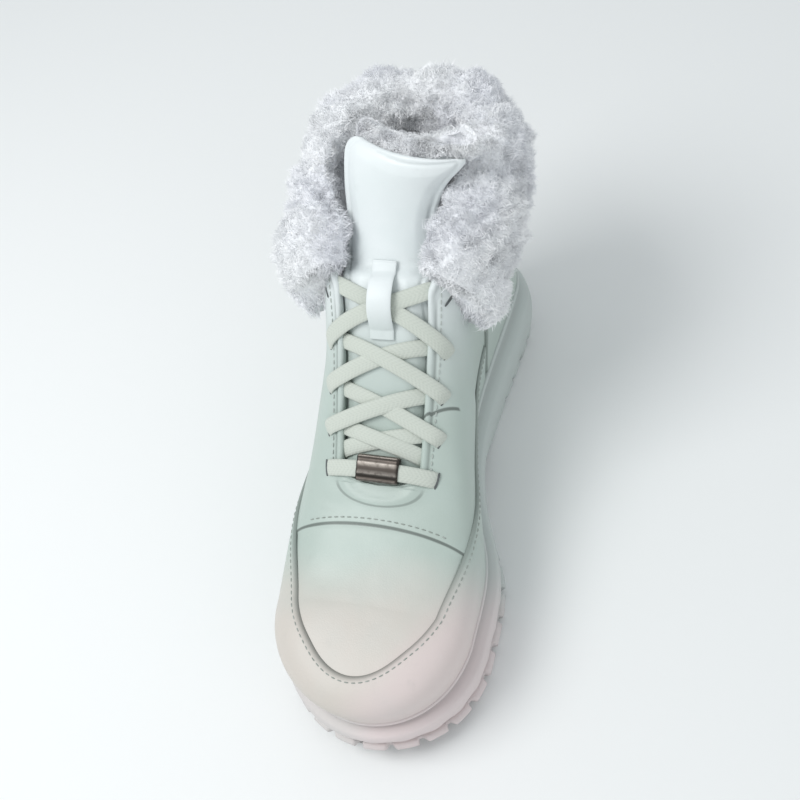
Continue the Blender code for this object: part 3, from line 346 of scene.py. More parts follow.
# Positions round the last: 0 is the back of the heel, 1 the tip of the toe by the medial side, and 2
# the heel again by the lateral side. The rows' own positions follow the length of the outline.
def outline_rows():
    """Each row's centre x, centre y, turn in radians, lateral and medial reach, in metres."""
    x = column_of(PLAN, "centre") * HALF_BALL
    y = HALF_LENGTH - column_of(PLAN, "station") * SOLE_LENGTH
    turn = np.radians(column_of(PLAN, "turn"))
    return x, y, turn, column_of(PLAN, "lateral") * HALF_BALL, column_of(PLAN, "medial") * HALF_BALL


def row_positions():
    """Share of the outline's length, from heel to toe, at which each row lies."""
    x, y, turn, lateral, medial = outline_rows()
    reach = (lateral + medial) / 2
    run = run_along(np.stack([x + np.sin(turn) * reach, y + np.cos(turn) * reach], -1))
    return run / run[-1]


ROWS = row_positions()
RING = np.concatenate([ROWS, 2 - ROWS[-2::-1]])
print("rows round the last:", len(RING))

# %% [markdown]
# The last itself: skin(u, v) is a point of the leather at u round the foot and v from its foot to the
# collar or the ridge. The sole and the laces ask the same functions where the leather is.

# %% The last
def fold(u):
    """The position on the medial side that mirrors a position u round the last."""
    return np.where(u > 1, 2 - u, u)


def around_ring(medial, lateral, u):
    """A column of a table with one value a row and side, read smoothly at u from 0 to 2."""
    return ring_spline(RING, np.concatenate([medial, lateral[-2:0:-1]]), u)


def centre_and_direction(u):
    """The row centre and the outward direction at u. Both run straight from row to row."""
    x, y, turn, _, _ = outline_rows()
    folded, side = fold(u), np.where(u > 1, -1.0, 1.0)
    turn = np.interp(folded, ROWS, turn)
    centre = np.stack([np.interp(folded, ROWS, x), np.interp(folded, ROWS, y)], -1)
    return centre, np.stack([side * np.sin(turn), np.cos(turn)], -1)


def widest(u):
    """Distance from the row centre to the sole's widest line."""
    _, _, _, lateral, medial = outline_rows()
    return around_ring(medial, lateral, u)


def foot_reach(u):
    """Distance from the row centre to the foot of the upper."""
    return widest(u) - SOLE_OVERHANG


def tread_height(y):
    """Underside of the sole: flat at heel and ball, lifted at the arch, the tip and the very back."""
    share = (HALF_LENGTH - np.asarray(y, float)) / SOLE_LENGTH
    rise = np.clip((share - 0.80) / 0.20, 0, 1)
    back = np.clip((0.045 - share) / 0.045, 0, 1)
    arch = np.clip((share - 0.36) / 0.20, 0, 1)
    return TOE_SPRING * rise**1.8 + HEEL_BEVEL * back**1.5 + ARCH_LIFT * np.sin(np.pi * arch) ** 2


def seat_height(y):
    """Where the upper stands on the sole: high at the heel, low at the ball, up again at the toe."""
    share = (HALF_LENGTH - np.asarray(y, float)) / SOLE_LENGTH
    down = soft_step((share - 0.12) / 0.55)
    up = np.clip((share - 0.72) / 0.28, 0, 1)
    heel_to_ball = (HEEL_STACK - RIM_HEIGHT) * (1 - down) + (BALL_STACK - RIM_HEIGHT) * down
    return heel_to_ball + (TOE_STACK - BALL_STACK) * up**1.5


def skin(u, v, lift=0.0):
    """A point of the upper's outer surface at u round the last and v from foot to top, moved out by lift."""
    u, v, lift = np.broadcast_arrays(*(np.asarray(a, float) for a in (u, v, lift)))
    if np.any(lift):
        step = 1e-3
        along = skin(u + step, v) - skin(u - step, v)
        up = skin(u, np.minimum(v + step, 1)) - skin(u, np.maximum(v - step, 0))
        return skin(u, v) + unit(np.cross(up, along)) * lift[..., None]
    flat = u.ravel()
    weights = profile_weights(v.ravel())
    centre, direction = centre_and_direction(np.mod(flat, 2.0))
    reach = foot_reach(flat)
    foot = centre + direction * reach[:, None]
    z_foot = seat_height(foot[:, 1]) + CLEARANCE

    def table(name, source=PROFILES):
        column = column_of(source, name)
        return around_ring(column, column, flat)

    toe = column_of(PROFILES, "top_height")[-1]
    z_top = np.where(fold(flat % 2) >= ROWS[-3], toe, table("top_height")) * COLLAR_HEIGHT
    body = table("body", PLAN) * HALF_BALL
    shut = np.clip((centre[:, 1] - THROAT_BOTTOM) / 0.008, 0, 1)
    outs = [reach, table("wall_out") * reach]
    outs += [table(n) * body for n in ("belly_out", "shoulder_out", "crown_out")]
    outs = np.stack(outs + [table("top_out") * body * shut], -1)
    ups = [table(n) for n in ("wall_up", "belly_up", "shoulder_up", "crown_up")]
    ups = np.stack([np.zeros_like(flat)] + ups + [np.ones_like(flat)], -1)
    out = np.maximum((outs * weights).sum(-1), 0)
    z = z_foot + (ups * weights).sum(-1) * (z_top - z_foot)
    plan = centre + direction * out[:, None]
    return np.concatenate([plan, z[:, None]], -1).reshape(u.shape + (3,))


def position_at(y):
    """The u on the medial side whose row centre lies at y, in the stretch that looks sideways."""
    _, rows_y, _, _, _ = outline_rows()
    first, last = 2, len(ROWS) - 3
    return np.interp(-y, -rows_y[first : last + 1], ROWS[first : last + 1])


def over_foot(x, y):
    """The point of the upper's surface over a plan point near the ridge."""
    u = float(position_at(y))
    sideways = x - centre_and_direction(np.array(u))[0][0]
    v = np.linspace(0.35, 1, 200)
    line = skin(2 - u if sideways < 0 else u, v)
    out = np.abs(line[:, 0] - (x - sideways))
    order = np.argsort(out)
    return np.array([x, y, np.interp(abs(sideways), out[order], line[order, 2])])


def normal_over(x, y):
    """The upper's outward normal over a plan point, from four points beside it."""
    step = 0.002
    across = over_foot(x + step, y) - over_foot(x - step, y)
    along = over_foot(x, y - step) - over_foot(x, y + step)
    normal = unit(np.cross(along, across))
    return normal if normal[2] > 0 else -normal


def spine_x(y):
    """The x of the row centres at y."""
    return float(centre_and_direction(position_at(y))[0][0])


def throat_half(y):
    """Half width of the lace opening at y, past its rounded bottom."""
    share = np.clip((y - THROAT_BOTTOM) / (THROAT_TOP - THROAT_BOTTOM), 0, 1)
    return THROAT_LOW_HALF + (THROAT_HIGH_HALF - THROAT_LOW_HALF) * share


# The sole
def sole_ring(u, inset, height, drop=0.0):
    """A closed line round the sole: inset from the widest line, height a share from tread to rim."""
    centre, direction = centre_and_direction(u)
    reach = widest(u) - inset
    plan = centre + direction * reach[:, None]
    low = tread_height(plan[:, 1]) + drop
    high = seat_height(plan[:, 1]) + RIM_HEIGHT
    return np.concatenate([plan, (low + (high - low) * height)[:, None]], -1)


def eyelet_places():
    """Plan points of the lace holes, as pairs (lateral, medial) from the toe up."""
    pairs = []
    for i in range(EYELET_ROWS):
        y = EYELET_FIRST + i * EYELET_STEP
        centre_x, reach = spine_x(y), throat_half(y) + EYELET_EDGE
        pairs.append(((centre_x - reach, y), (centre_x + reach, y)))
    return pairs


# Tongue
def tongue_rows():
    """Points across the front of the tongue, row by row from the toe to the tip.

    Under the laces each row follows the inside of the upper; above, it follows its table."""
    rows = []
    across = np.linspace(-1, 1, 9)
    for y in np.linspace(THROAT_BOTTOM - 0.010, 0.028, 9):
        half = float(throat_half(y)) + 0.0045 - 0.005 * float(np.clip((y - 0.010) / 0.018, 0, 1))
        bulge = np.clip((y - THROAT_BOTTOM) / 0.012, 0, 1)
        centre_x = spine_x(y)
        section = []
        for a in across:
            x = centre_x + a * half
            shown = np.clip(1 - (abs(a) * half / (throat_half(y) - 0.002)) ** 6, 0, 1) * bulge
            depth = WALL + 0.0014 - (WALL - 0.0006) * shown
            section.append(over_foot(x, y) - normal_over(x, y) * depth)
        rows.append(np.array(section))
    for y, z, half, lean, fold, shift, turn in list(TONGUE_TOP.values())[1:]:
        back = np.array([0, math.sin(math.radians(lean)), -math.cos(math.radians(lean))])
        middle = np.array([shift, y, z]) * COLLAR_HEIGHT
        side = np.array([1, -turn, 0]) * half * COLLAR_HEIGHT
        section = [middle + side * a + back * fold * COLLAR_HEIGHT * a * a for a in across]
        rows.append(np.array(section))
    return np.array(rows)


def sheet_normals(grid):
    """Unit normals of a grid of points, turned to look up and towards the toe."""
    normal = unit(np.cross(np.gradient(grid, axis=1), np.gradient(grid, axis=0)))
    return normal if (normal[..., 2] - normal[..., 1]).sum() > 0 else -normal


def tongue_line():
    """Middle line of the tongue's front, with its unit normals, along the tongue's length."""
    rows = tongue_rows()
    middle = rows.shape[1] // 2
    line, normal = rows[:, middle], sheet_normals(rows)[:, middle]
    return run_along(line), line, normal


def crossing_run(low, high, side, over, from_below):
    """Stops of one lace of a crossing, from the low eyelet on one side to under the far edge.

    The lowest crossing comes from below the leather on both sides."""
    (x0, y0), (x1, y1) = low, high
    on_leather = CLEARANCE * 3 + LACE_THICKNESS / 2
    hidden = side * (EYELET_EDGE + EDGE_GAP)
    raised = LACE_THICKNESS * 0.85 if over else 0.0
    over_tongue = on_leather - 0.0010 + raised
    if from_below:
        y_near, y_far = y0 + (y1 - y0) * 0.50, y0 + (y1 - y0) * 0.95
        middle = ((x0 + x1) / 2, (y_near + y_far) / 2, over_tongue)
        return [(x0 + hidden, y_near, -0.0008), middle, (x1 - hidden, y_far, -0.0008)]
    near, far = x0 + side * EYELET_EDGE, x1 - hidden
    y_near, y_far = y0 + (y1 - y0) * 0.13, y0 + (y1 - y0) * 0.80
    middle = ((near + far) / 2, (y_near + y_far) / 2, over_tongue)
    return [(x0, y0, on_leather), (near, y_near, on_leather), middle, (far, y_far, -0.0008)]


# Fur cuff
def lock_pattern(a, b):
    """Lumps of fur between 0 and 1, worked out from waves that never quite repeat."""
    wave = np.sin(a * 1.9 + 1.3 * np.sin(b * 0.9)) * np.cos(b * 1.3 + 0.8 * np.sin(a * 0.7 + 1.1))
    return 0.5 + 0.5 * wave


def cuff_section(around):
    """The section of the fur roll as (down, out) pairs, the leather's slot last.

    around runs from -1 at the lateral front end to 1 at the medial one. The flaps beside the tongue
    hang lower and stand out further, and have little fur on their inner side."""
    front = np.clip((abs(around) - 0.62) / 0.38, 0, 1)
    swell = 1 + 0.08 * np.sin(around * 12) + 0.05 * np.sin(around * 26 + 1)
    hem = CUFF_DROP * (1 + 0.08 * np.sin(around * 9 + 0.5) + FLAP_DROP * front)
    at_heel = np.exp(-((around / 0.16) ** 2))
    out = CUFF_OUT * swell * (1 + FLAP_OUT * front) * (1 - HEEL_TRIM * at_heel)
    rise = CUFF_RISE * swell * (1 - 0.35 * front)
    beside_tongue = np.clip((abs(around) - 0.38) / 0.34, 0, 1)
    thin = 1 - 0.84 * beside_tongue
    gap = (2.5 + 1.5 * beside_tongue) * CLEARANCE
    inner, inside = gap + CUFF_IN * swell * thin, CUFF_INSIDE * (1 - 0.80 * beside_tongue)
    soft = [
        (hem + 0.0015, out * 0.45), (hem * 0.93, out * 0.82), (hem * 0.68, out), (hem * 0.40, out * 1.04),
        (hem * 0.12, out * 0.95), (-rise * 0.45, out * 0.68), (-rise * 0.88, out * 0.28), (-rise, -WALL),
        (-rise * 0.80, -WALL - inner * 0.55), (-rise * 0.25, -WALL - inner * 0.92),
        (inside * 0.30, -WALL - inner), (inside * 0.70, -WALL - inner * 0.9), (inside, -WALL - inner * 0.5),
    ]
    slot = [
        (inside * 0.98, -WALL - gap), (inside * 0.5, -WALL - gap), (-gap, -WALL - gap), (-gap, gap),
        (hem * 0.25, gap), (hem * 0.50, gap), (hem * 0.75, gap), (hem * 0.95, gap),
    ]
    return soft, slot


print("last ready")

# %% [markdown]
# Every piece is a grid of points turned into quads. A slab is closed between two grids, a tube runs
# round and has a cap at each end, and the shell of the upper is open at its top and its foot.

# %% Grids and pieces
def quads(rows, columns, closed=False, start=0):
    """Quads of a grid of points stored row by row; closed joins the last column to the first."""
    r, c = np.divmod(np.arange((rows - 1) * (columns - (not closed))), columns - (not closed))
    low, high, d = r * columns + start, (r + 1) * columns + start, (c + 1) % columns
    return np.stack([low + c, low + d, high + d, high + c], 1)


def strip(first, second):
    """Quads between two lines of point numbers."""
    return np.stack([first[:-1], first[1:], second[1:], second[:-1]], 1)


def put(name, data):
    """An object with the given data, linked into the scene."""
    obj = bpy.data.objects.new(name, data)
    bpy.context.scene.collection.objects.link(obj)
    return obj


def add_piece(name, points, faces, finish, slot=None, replaces=(), values=None, merge=1e-6):
    """A mesh piece on the root body: doubles merged, normals outwards, optional value per point."""
    points = np.asarray(points, float).reshape(-1, 3)
    mesh = bpy.data.meshes.new(name)
    mesh.vertices.add(len(points))
    mesh.vertices.foreach_set("co", points.astype(np.float32).ravel())
    faces = [f for group in faces for f in (group.tolist() if hasattr(group, "tolist") else [group])]
    sizes = np.array([len(f) for f in faces])
    mesh.loops.add(int(sizes.sum()))
    mesh.loops.foreach_set("vertex_index", np.fromiter((i for f in faces for i in f), np.int32))
    mesh.polygons.add(len(faces))
    mesh.polygons.foreach_set("loop_start", np.concatenate([[0], np.cumsum(sizes)[:-1]]).astype(np.int32))
    mesh.update(calc_edges=True)
    for key, value in (values or {}).items():
        layer = mesh.attributes.new(key, "FLOAT", "POINT")
        layer.data.foreach_set("value", np.asarray(value, np.float32).ravel())
    mesh.validate()
    if merge:
        work = bmesh.new()
        work.from_mesh(mesh)
        bmesh.ops.remove_doubles(work, verts=work.verts, dist=merge)
        bmesh.ops.dissolve_degenerate(work, edges=work.edges, dist=merge)
        bmesh.ops.recalc_face_normals(work, faces=work.faces)
        work.to_mesh(mesh)
        work.free()
    mesh.shade_smooth()
    obj = put(name, mesh)
    mesh.materials.append(finish)
    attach(obj, "root")
    if replaces:
        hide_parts(*replaces)
    return obj


def levels_at(u, height):
    """The level v at which each column u of the last reaches its height above the foot."""
    u, height = np.broadcast_arrays(np.asarray(u, float), np.asarray(height, float))
    v = np.linspace(0, 1, 121)
    z = skin(u, v[:, None])[..., 2]
    z = np.maximum.accumulate(z - z[0], axis=0)
    return np.array([np.interp(h, z[:, i], v) for i, h in enumerate(height)])


def normals_of(grid, closed=False):
    """Unit normals of a grid on the last, pointing out. Where columns meet, the row below is used."""
    across = np.roll(grid, -1, 1) - np.roll(grid, 1, 1) if closed else np.gradient(grid, axis=1)
    normal = np.cross(np.gradient(grid, axis=0), across)
    size = np.linalg.norm(normal, axis=-1, keepdims=True)
    weak = (np.linalg.norm(across, axis=-1) < 2e-5) | (size[..., 0] < 1e-12)
    normal /= np.maximum(size, 1e-15)
    for r in range(1, len(grid)):
        normal[r][weak[r]] = normal[r - 1][weak[r]]
    return normal


def edge_distance(grid, sides=(1, 1, 1, 1)):
    """Distance along the grid to its nearest wanted side: first row, last row, first column, last column."""
    down, along = run_along(grid), run_along(grid, 1)
    found = [down, down[-1:] - down, along, along[:, -1:] - along]
    return np.min([d for d, want in zip(found, sides, strict=True) if want], axis=0)


def capped_tube(rows, columns):
    """Faces of a tube whose rings lie row by row, with a flat cap at each end."""
    ring = np.arange(columns)
    return [quads(rows, columns, True), ring[None, ::-1], ring[None] + (rows - 1) * columns]


def closed_slab(name, front, back, finish, **rest):
    """A closed solid between two grids of the same size."""
    rows, columns = front.shape[:2]
    count = rows * columns
    index = np.arange(count).reshape(rows, columns)
    faces = [quads(rows, columns), quads(rows, columns, start=count)[:, ::-1]]
    for line in (index[0], index[-1][::-1], index[:, 0][::-1], index[:, -1]):
        faces.append(strip(line + count, line))
    points = np.concatenate([front.reshape(-1, 3), back.reshape(-1, 3)])
    return add_piece(name, points, faces, finish, **rest)


def open_shell(name, outer, inner, finish, shut, **rest):
    """A shell from an outer and an inner grid that both close round their columns.

    Its last row gets no rim where it is shut, because both sides of the shell meet there."""
    rows, columns = outer.shape[:2]
    index = np.arange(rows * columns).reshape(rows, columns)
    index = np.concatenate([index, index[:, :1]], 1)
    inside = index + rows * columns
    high = strip(index[-1], inside[-1])[~(shut & np.roll(shut, -1))]
    faces = [quads(rows, columns, True), quads(rows, columns, True, start=rows * columns)[:, ::-1]]
    faces += [strip(inside[0], index[0]), high]
    points = np.concatenate([outer.reshape(-1, 3), inner.reshape(-1, 3)])
    return add_piece(name, points, faces, finish, **rest)


print("mesh helpers ready")

# %% [markdown]
# Seams that lie in the leather itself are drawn in plan. The toe cap's seam is a parabola
# y = y0 - bow * (x / half)^2, the welt under the lace opening is half an ellipse.

# %% Seams in plan
CAP_SEAM = -0.0575  # y of the toe cap's seam at the middle
CAP_BOW = 0.0035  # how far its ends fall towards the toe
CAP_HALF = 0.042  # from its middle to those ends
STITCH_INSET = 0.0038  # from a seam or an edge to its stitches
SHORT_SEAM = ((0.0180, -0.0150), (0.0251, -0.0106), (0.0350, -0.0040))  # on the medial quarter
WELT = (0.017, 0.0085)  # half axes of the welt's crest
WELT_LINE = 1.24  # its outer line, as a share of those


def cap_seam_y(x):
    """The y of the toe cap's seam at x from the middle."""
    return CAP_SEAM - CAP_BOW * (x / CAP_HALF) ** 2


def trough(distance, width):
    """A soft valley round distance 0: exp(-(d / width)^2)."""
    return np.exp(-((distance / width) ** 2))


print("seams in plan set")

# %% [markdown]
# A finish is a small tree of shader nodes. Sockets are wrapped so that shader sums read like
# arithmetic: leather is a pale base whose tint drifts with place, and a fine bump for its grain.

# %% Shader helpers
class Wire:
    """A shader socket with overloaded arithmetic."""

    def __init__(self, tree, socket):
        self.tree, self.socket = tree, socket

    def _math(self, operation, other=None, swap=False):
        """One maths node, fed with this wire and at most one other value."""
        node = self.tree.nodes.new("ShaderNodeMath")
        node.operation = operation
        for i, value in enumerate((other, self) if swap else (self, other)):
            if isinstance(value, Wire):
                self.tree.links.new(value.socket, node.inputs[i])
            elif value is not None:
                node.inputs[i].default_value = value
        return Wire(self.tree, node.outputs[0])

    def __add__(self, other):
        return self._math("ADD", other)

    def __sub__(self, other):
        return self._math("SUBTRACT", other)

    def __rsub__(self, other):
        return self._math("SUBTRACT", other, swap=True)

    def __mul__(self, other):
        return self._math("MULTIPLY", other)

    def __pow__(self, other):
        return self._math("POWER", other)

    __radd__, __rmul__ = __add__, __mul__

    def __abs__(self):
        return self._math("ABSOLUTE")

    def sine(self):
        return self._math("SINE")

    def smooth(self, low, high):
        """0 below low, 1 above high, a soft step between."""
        node = self.tree.nodes.new("ShaderNodeMapRange")
        node.interpolation_type = "SMOOTHSTEP"
        node.inputs["From Min"].default_value = low
        node.inputs["From Max"].default_value = high
        self.tree.links.new(self.socket, node.inputs["Value"])
        return Wire(self.tree, node.outputs["Result"])

    def clip(self):
        """The value kept between 0 and 1."""
        return self._math("MAXIMUM", 0.0)._math("MINIMUM", 1.0)

    def line(self, width):
        """1 where the value is close to 0, and 0 from a width away."""
        return 1.0 - (abs(self) * (1 / width)).smooth(0.3, 1.0)


class Finish:
    """A material under construction."""

    def __init__(self, name, colour, roughness, **constants):
        self.material = bpy.data.materials.new(name)
        self.material.use_nodes = True
        self.tree = self.material.node_tree
        self.shader = self.tree.nodes["Principled BSDF"]
        self.shader.inputs["Base Color"].default_value = (*colour, 1)
        self.shader.inputs["Roughness"].default_value = roughness
        for key, value in constants.items():
            self.shader.inputs[key.replace("_", " ")].default_value = value
        self.place = self.node("ShaderNodeTexCoord").outputs["Object"]

    def node(self, kind, inputs=None, **properties):
        """Any node: its properties by name, its inputs by name or number, linked or set."""
        made = self.tree.nodes.new(kind)
        for key, value in properties.items():
            setattr(made, key, value)
        for key, value in (inputs or {}).items():
            if isinstance(value, Wire):
                value = value.socket
            if isinstance(value, bpy.types.NodeSocket):
                self.tree.links.new(value, made.inputs[key])
            else:
                made.inputs[key].default_value = value
        return made

    def noise(self, scale, detail=3.0, roughness=0.5, stretch=None, distortion=0.0):
        """Soft noise between 0 and 1 at a scale per metre, stretched along the axes if wanted."""
        place = self.place
        if stretch:
            place = self.node("ShaderNodeMapping", {"Vector": place, "Scale": stretch}).outputs[0]
        inputs = {"Vector": place, "Scale": scale, "Detail": detail}
        inputs.update({"Roughness": roughness, "Distortion": distortion})
        return Wire(self.tree, self.node("ShaderNodeTexNoise", inputs).outputs["Fac"])

    def cells(self, scale):
        """Distance to the nearest of many random points."""
        made = self.node("ShaderNodeTexVoronoi", {"Vector": self.place, "Scale": scale})
        return Wire(self.tree, made.outputs["Distance"])

    def axis(self, name):
        """One coordinate, in metres."""
        split = self.node("ShaderNodeSeparateXYZ", {"Vector": self.place})
        return Wire(self.tree, split.outputs[name])

    def value(self, name):
        """A value kept at the points of a piece, 0 where the piece has none."""
        return Wire(self.tree, self.node("ShaderNodeAttribute", attribute_name=name).outputs["Fac"])

    def mix(self, factor, first, second):
        """A colour between two, each a tuple or a socket."""
        colours = [(*c, 1) if isinstance(c, tuple) else c for c in (first, second)]
        inputs = dict(zip((0, 6, 7), [factor] + colours, strict=True))
        return self.node("ShaderNodeMix", inputs, data_type="RGBA").outputs[2]

    def bump(self, height, distance, strength, over=None):
        """A normal tilted by a height, laid over another bump if wanted."""
        inputs = {"Height": height, "Distance": distance, "Strength": strength}
        if over is not None:
            inputs["Normal"] = over
        return self.node("ShaderNodeBump", inputs).outputs["Normal"]

    def set(self, **sockets):
        """Link the main shader's inputs, and give back the finished material."""
        for key, value in sockets.items():
            value = value.socket if isinstance(value, Wire) else value
            self.tree.links.new(value, self.shader.inputs[key.replace("_", " ")])
        return self.material


print("shader helpers ready")

# %% [markdown]
# The leather is a pale mint white. Over the toe a warm pinkish tint is painted on as warm light; it follows
# the boot's own length, with slow noise to break its edge. Higher up the leather is painted whiter as a
# highlight from the light above, and a rosy patch of painted light lies over the inner side of the toe. Fine
# pores come from cells.

# %% Finishes
MINT = (0.455, 0.530, 0.485)
# Painted warm light tint over the toe.
PINK_LIGHT_TINT = (0.610, 0.565, 0.515)
# Painted rosy light over the inner side of the toe.
ROSE_LIGHT_TINT = (0.760, 0.640, 0.640)
# Painted highlight for the higher leather, lit from above.
TOP_HIGHLIGHT = (0.780, 0.820, 0.825)
SHADE = (0.300, 0.320, 0.300)
# Painted shade for seams and the cut edges of panels.
SEAM_SHADE_COLOUR = (0.085, 0.100, 0.090)


def across_toe(made, width):
    """How near a point is to the toe cap's seam, from 1 on it to 0: a parabola in plan."""
    x = (made.axis("X") - spine_x(CAP_SEAM)) * (1 / CAP_HALF)
    return (made.axis("Y") - CAP_SEAM + x * x * CAP_BOW).line(width)


def near_segment(made, first, last, width):
    """How near a point is in plan to a straight seam between two points."""
    (x0, y0), (x1, y1) = first, last
    size = math.hypot(x1 - x0, y1 - y0)
    a, b = (x1 - x0) / size, (y1 - y0) / size
    x, y = made.axis("X") - x0, made.axis("Y") - y0
    over = x * a + y * b
    inside = over.smooth(-0.0004, 0.0004) * (1.0 - over.smooth(size - 0.0004, size + 0.0006))
    return (y * a - x * b).line(width) * inside


def near_welt(made, width):
    """How near a point is to the rounded welt under the lace opening: part of an ellipse in plan."""
    x = (made.axis("X") - spine_x(THROAT_BOTTOM)) * (1 / WELT[0])
    y = (made.axis("Y") - THROAT_BOTTOM - 0.002) * (1 / WELT[1])
    front = 1.0 - made.axis("Y").smooth(THROAT_BOTTOM - 0.002, THROAT_BOTTOM + 0.002)
    return ((x * x + y * y) ** 0.5 - WELT_LINE).line(width / WELT[1]) * front


def rose_light_tint(made, colour):
    """A colour with a painted patch of rosy light over the inner side of the toe laid on it."""
    rosy_light = (made.axis("X") - made.axis("Y") * 0.6 + made.noise(18, 2.0) * 0.02).smooth(0.092, 0.118)
    return made.mix(rosy_light * 0.6, colour, ROSE_LIGHT_TINT)


def leather(name, roughness=0.40, seams=False):
    """Leather that goes from mint to a painted warm light tint at the toe and a painted highlight at the
    top, with dirt, scuffs, pores and painted shade along seams and edges.
    """
    made = Finish(name, MINT, roughness, Coat_Weight=0.10, Coat_Roughness=0.30, Specular_IOR_Level=0.42)
    # Painted warm light: the leather turns from mint to a pinkish tint towards the toe.
    toe_light_tint = (made.axis("Y") * -1.0 + made.noise(16, 2.0) * 0.045).smooth(0.086, 0.128)
    colour = made.mix(toe_light_tint, MINT, PINK_LIGHT_TINT)
    # Painted highlight: the leather is painted whiter from about 10 cm to 16.5 cm up, as lit from above.
    colour = made.mix((made.axis("Z") + made.noise(24, 2.0) * 0.02).smooth(0.098, 0.165), colour, TOP_HIGHLIGHT)
    # Painted rosy light over the inner side of the toe.
    colour = rose_light_tint(made, colour)
    blotch = made.noise(30, 3.0).smooth(0.40, 0.75) * 0.16
    colour = made.mix(blotch, colour, (0.52, 0.62, 0.60))
    dark_blotches = made.noise(75, 6.0, 0.7).smooth(0.55, 0.82) * 0.16
    colour = made.mix(dark_blotches, colour, SHADE)
    scuff = made.noise(260, 5.0, 0.6, stretch=(1.0, 0.22, 1.0)).smooth(0.66, 0.80)
    scuff = scuff * made.noise(12, 2.0).smooth(0.50, 0.66) * 0.30
    colour = made.mix(scuff, colour, (0.80, 0.80, 0.78))
    # Painted shade carried by the pieces: cut edges of panels and grooves along the edges.
    dark = made.value("dark").clip()
    height = made.cells(1500) * 0.6 + made.noise(900, 3.0) * 0.6
    if seams:
        high = made.axis("Z").smooth(0.050, 0.054)
        cap = across_toe(made, 0.00095) * high
        short = near_segment(made, *SHORT_SEAM[:2], 0.0008)
        short = (short + near_segment(made, *SHORT_SEAM[1:], 0.0008)).clip()
        # Painted shade in the toe cap seam, the short medial seam and the welt; the same mask sinks a groove
        # into the bump.
        seam_shade = (cap + short * made.axis("Z").smooth(0.084, 0.088) + near_welt(made, 0.00055) * 0.55).clip()
        dark = (dark + seam_shade).clip()
        height = height - seam_shade * 3.0
    colour = made.mix(dark * 0.80, colour, SEAM_SHADE_COLOUR)
    soft = made.bump(made.noise(45, 2.0), 0.0009, 0.5)
    normal = made.bump(height, 0.00010, 0.55, over=soft)
    rough = made.noise(70, 4.0) * 0.16 + (roughness - 0.08) + scuff * 0.3
    return made.set(Base_Color=colour, Roughness=rough, Normal=normal)


def rubber(name):
    """Off-white rubber with a painted warm light tint at the toe, darker blotches near the floor and painted
    shade in its grooves.
    """
    made = Finish(name, (0.72, 0.71, 0.69), 0.5, Specular_IOR_Level=0.4)
    # Painted warm light: the rubber turns from a greenish to a warmer tint towards the toe.
    toe_light_tint = (made.axis("Y") * -1.0 + made.noise(20, 2.0) * 0.06).smooth(0.060, 0.150)
    colour = made.mix(toe_light_tint, (0.520, 0.570, 0.550), (0.630, 0.600, 0.585))
    # Painted rosy light over the inner side of the toe, as on the leather.
    colour = rose_light_tint(made, colour)
    # Darker brownish blotches that fade out between 4 mm and 40 mm above the floor.
    dark_blotches = made.noise(38, 6.0, 0.7).smooth(0.52, 0.80) * 0.30
    dark_blotches = dark_blotches * (1.0 - made.axis("Z").smooth(0.004, 0.040))
    colour = made.mix(dark_blotches, colour, (0.34, 0.31, 0.27))
    # Painted shade in the grooves, the notches between lugs and the inside of the cup.
    colour = made.mix(made.value("dark").clip() * 0.7, colour, (0.20, 0.20, 0.20))
    normal = made.bump(made.noise(700, 3.0), 0.00008, 0.4)
    rough = made.noise(55, 4.0) * 0.2 + 0.42
    return made.set(Base_Color=colour, Roughness=rough, Normal=normal)


def shearling(name):
    """The pale skin of the fur, which shows between its hairs, with painted shade in its hollows."""
    made = Finish(name, (0.88, 0.89, 0.91), 0.95, Specular_IOR_Level=0.12, Sheen_Weight=0.35)
    lilac = made.noise(26, 3.0).smooth(0.35, 0.75)
    colour = made.mix(lilac, (0.93, 0.94, 0.95), (0.86, 0.87, 0.91))
    # Painted shade in the hollows between the fur roll's lumps.
    colour = made.mix(made.value("dark").clip() * 0.30, colour, (0.55, 0.56, 0.60))
    normal = made.bump(made.noise(420, 4.0, 0.6, distortion=0.6), 0.0009, 0.7)
    return made.set(Base_Color=colour, Normal=normal)


def wool_hair(name):
    """Hairs: painted shade towards the root, and a little different from one to the next."""
    made = Finish(name, (0.92, 0.93, 0.94), 0.90, Specular_IOR_Level=0.15, Sheen_Weight=0.3)
    root, shade = made.value("root").clip(), made.value("shade")
    patch = made.noise(28, 3.0).smooth(0.38, 0.72)
    colour = made.mix(patch, (0.975, 0.98, 0.985), (0.93, 0.935, 0.965))
    colour = made.mix(shade * 0.08, colour, (0.76, 0.76, 0.78))
    # Painted shade deep in the pile: each hair darker towards its root.
    colour = made.mix((1.0 - root) * 0.15, colour, (0.70, 0.71, 0.75))
    return made.set(Base_Color=colour, Roughness=shade * 0.15 + 0.80)


def woven(name):
    """A weave: sine waves across the band, and slanted to both sides of its middle."""
    made = Finish(name, (0.82, 0.82, 0.79), 0.92, Specular_IOR_Level=0.2, Sheen_Weight=0.2)
    across = made.value("across")
    wales = (across * 6200.0).sine()
    twill = (made.value("along") * 3100.0 + abs(across) * 2600.0).sine()
    weave = twill * 0.28 + wales * 0.22 + 0.5
    border = abs(across).smooth(0.0029, 0.0039)
    light = weave.smooth(-0.1, 0.8) * 0.5 + 0.5
    colour = made.mix(light, (0.500, 0.540, 0.485), (0.590, 0.625, 0.565))
    colour = made.mix(border * 0.30, colour, (0.42, 0.45, 0.41))
    return made.set(Base_Color=colour, Normal=made.bump(weave, 0.00016, 0.7))


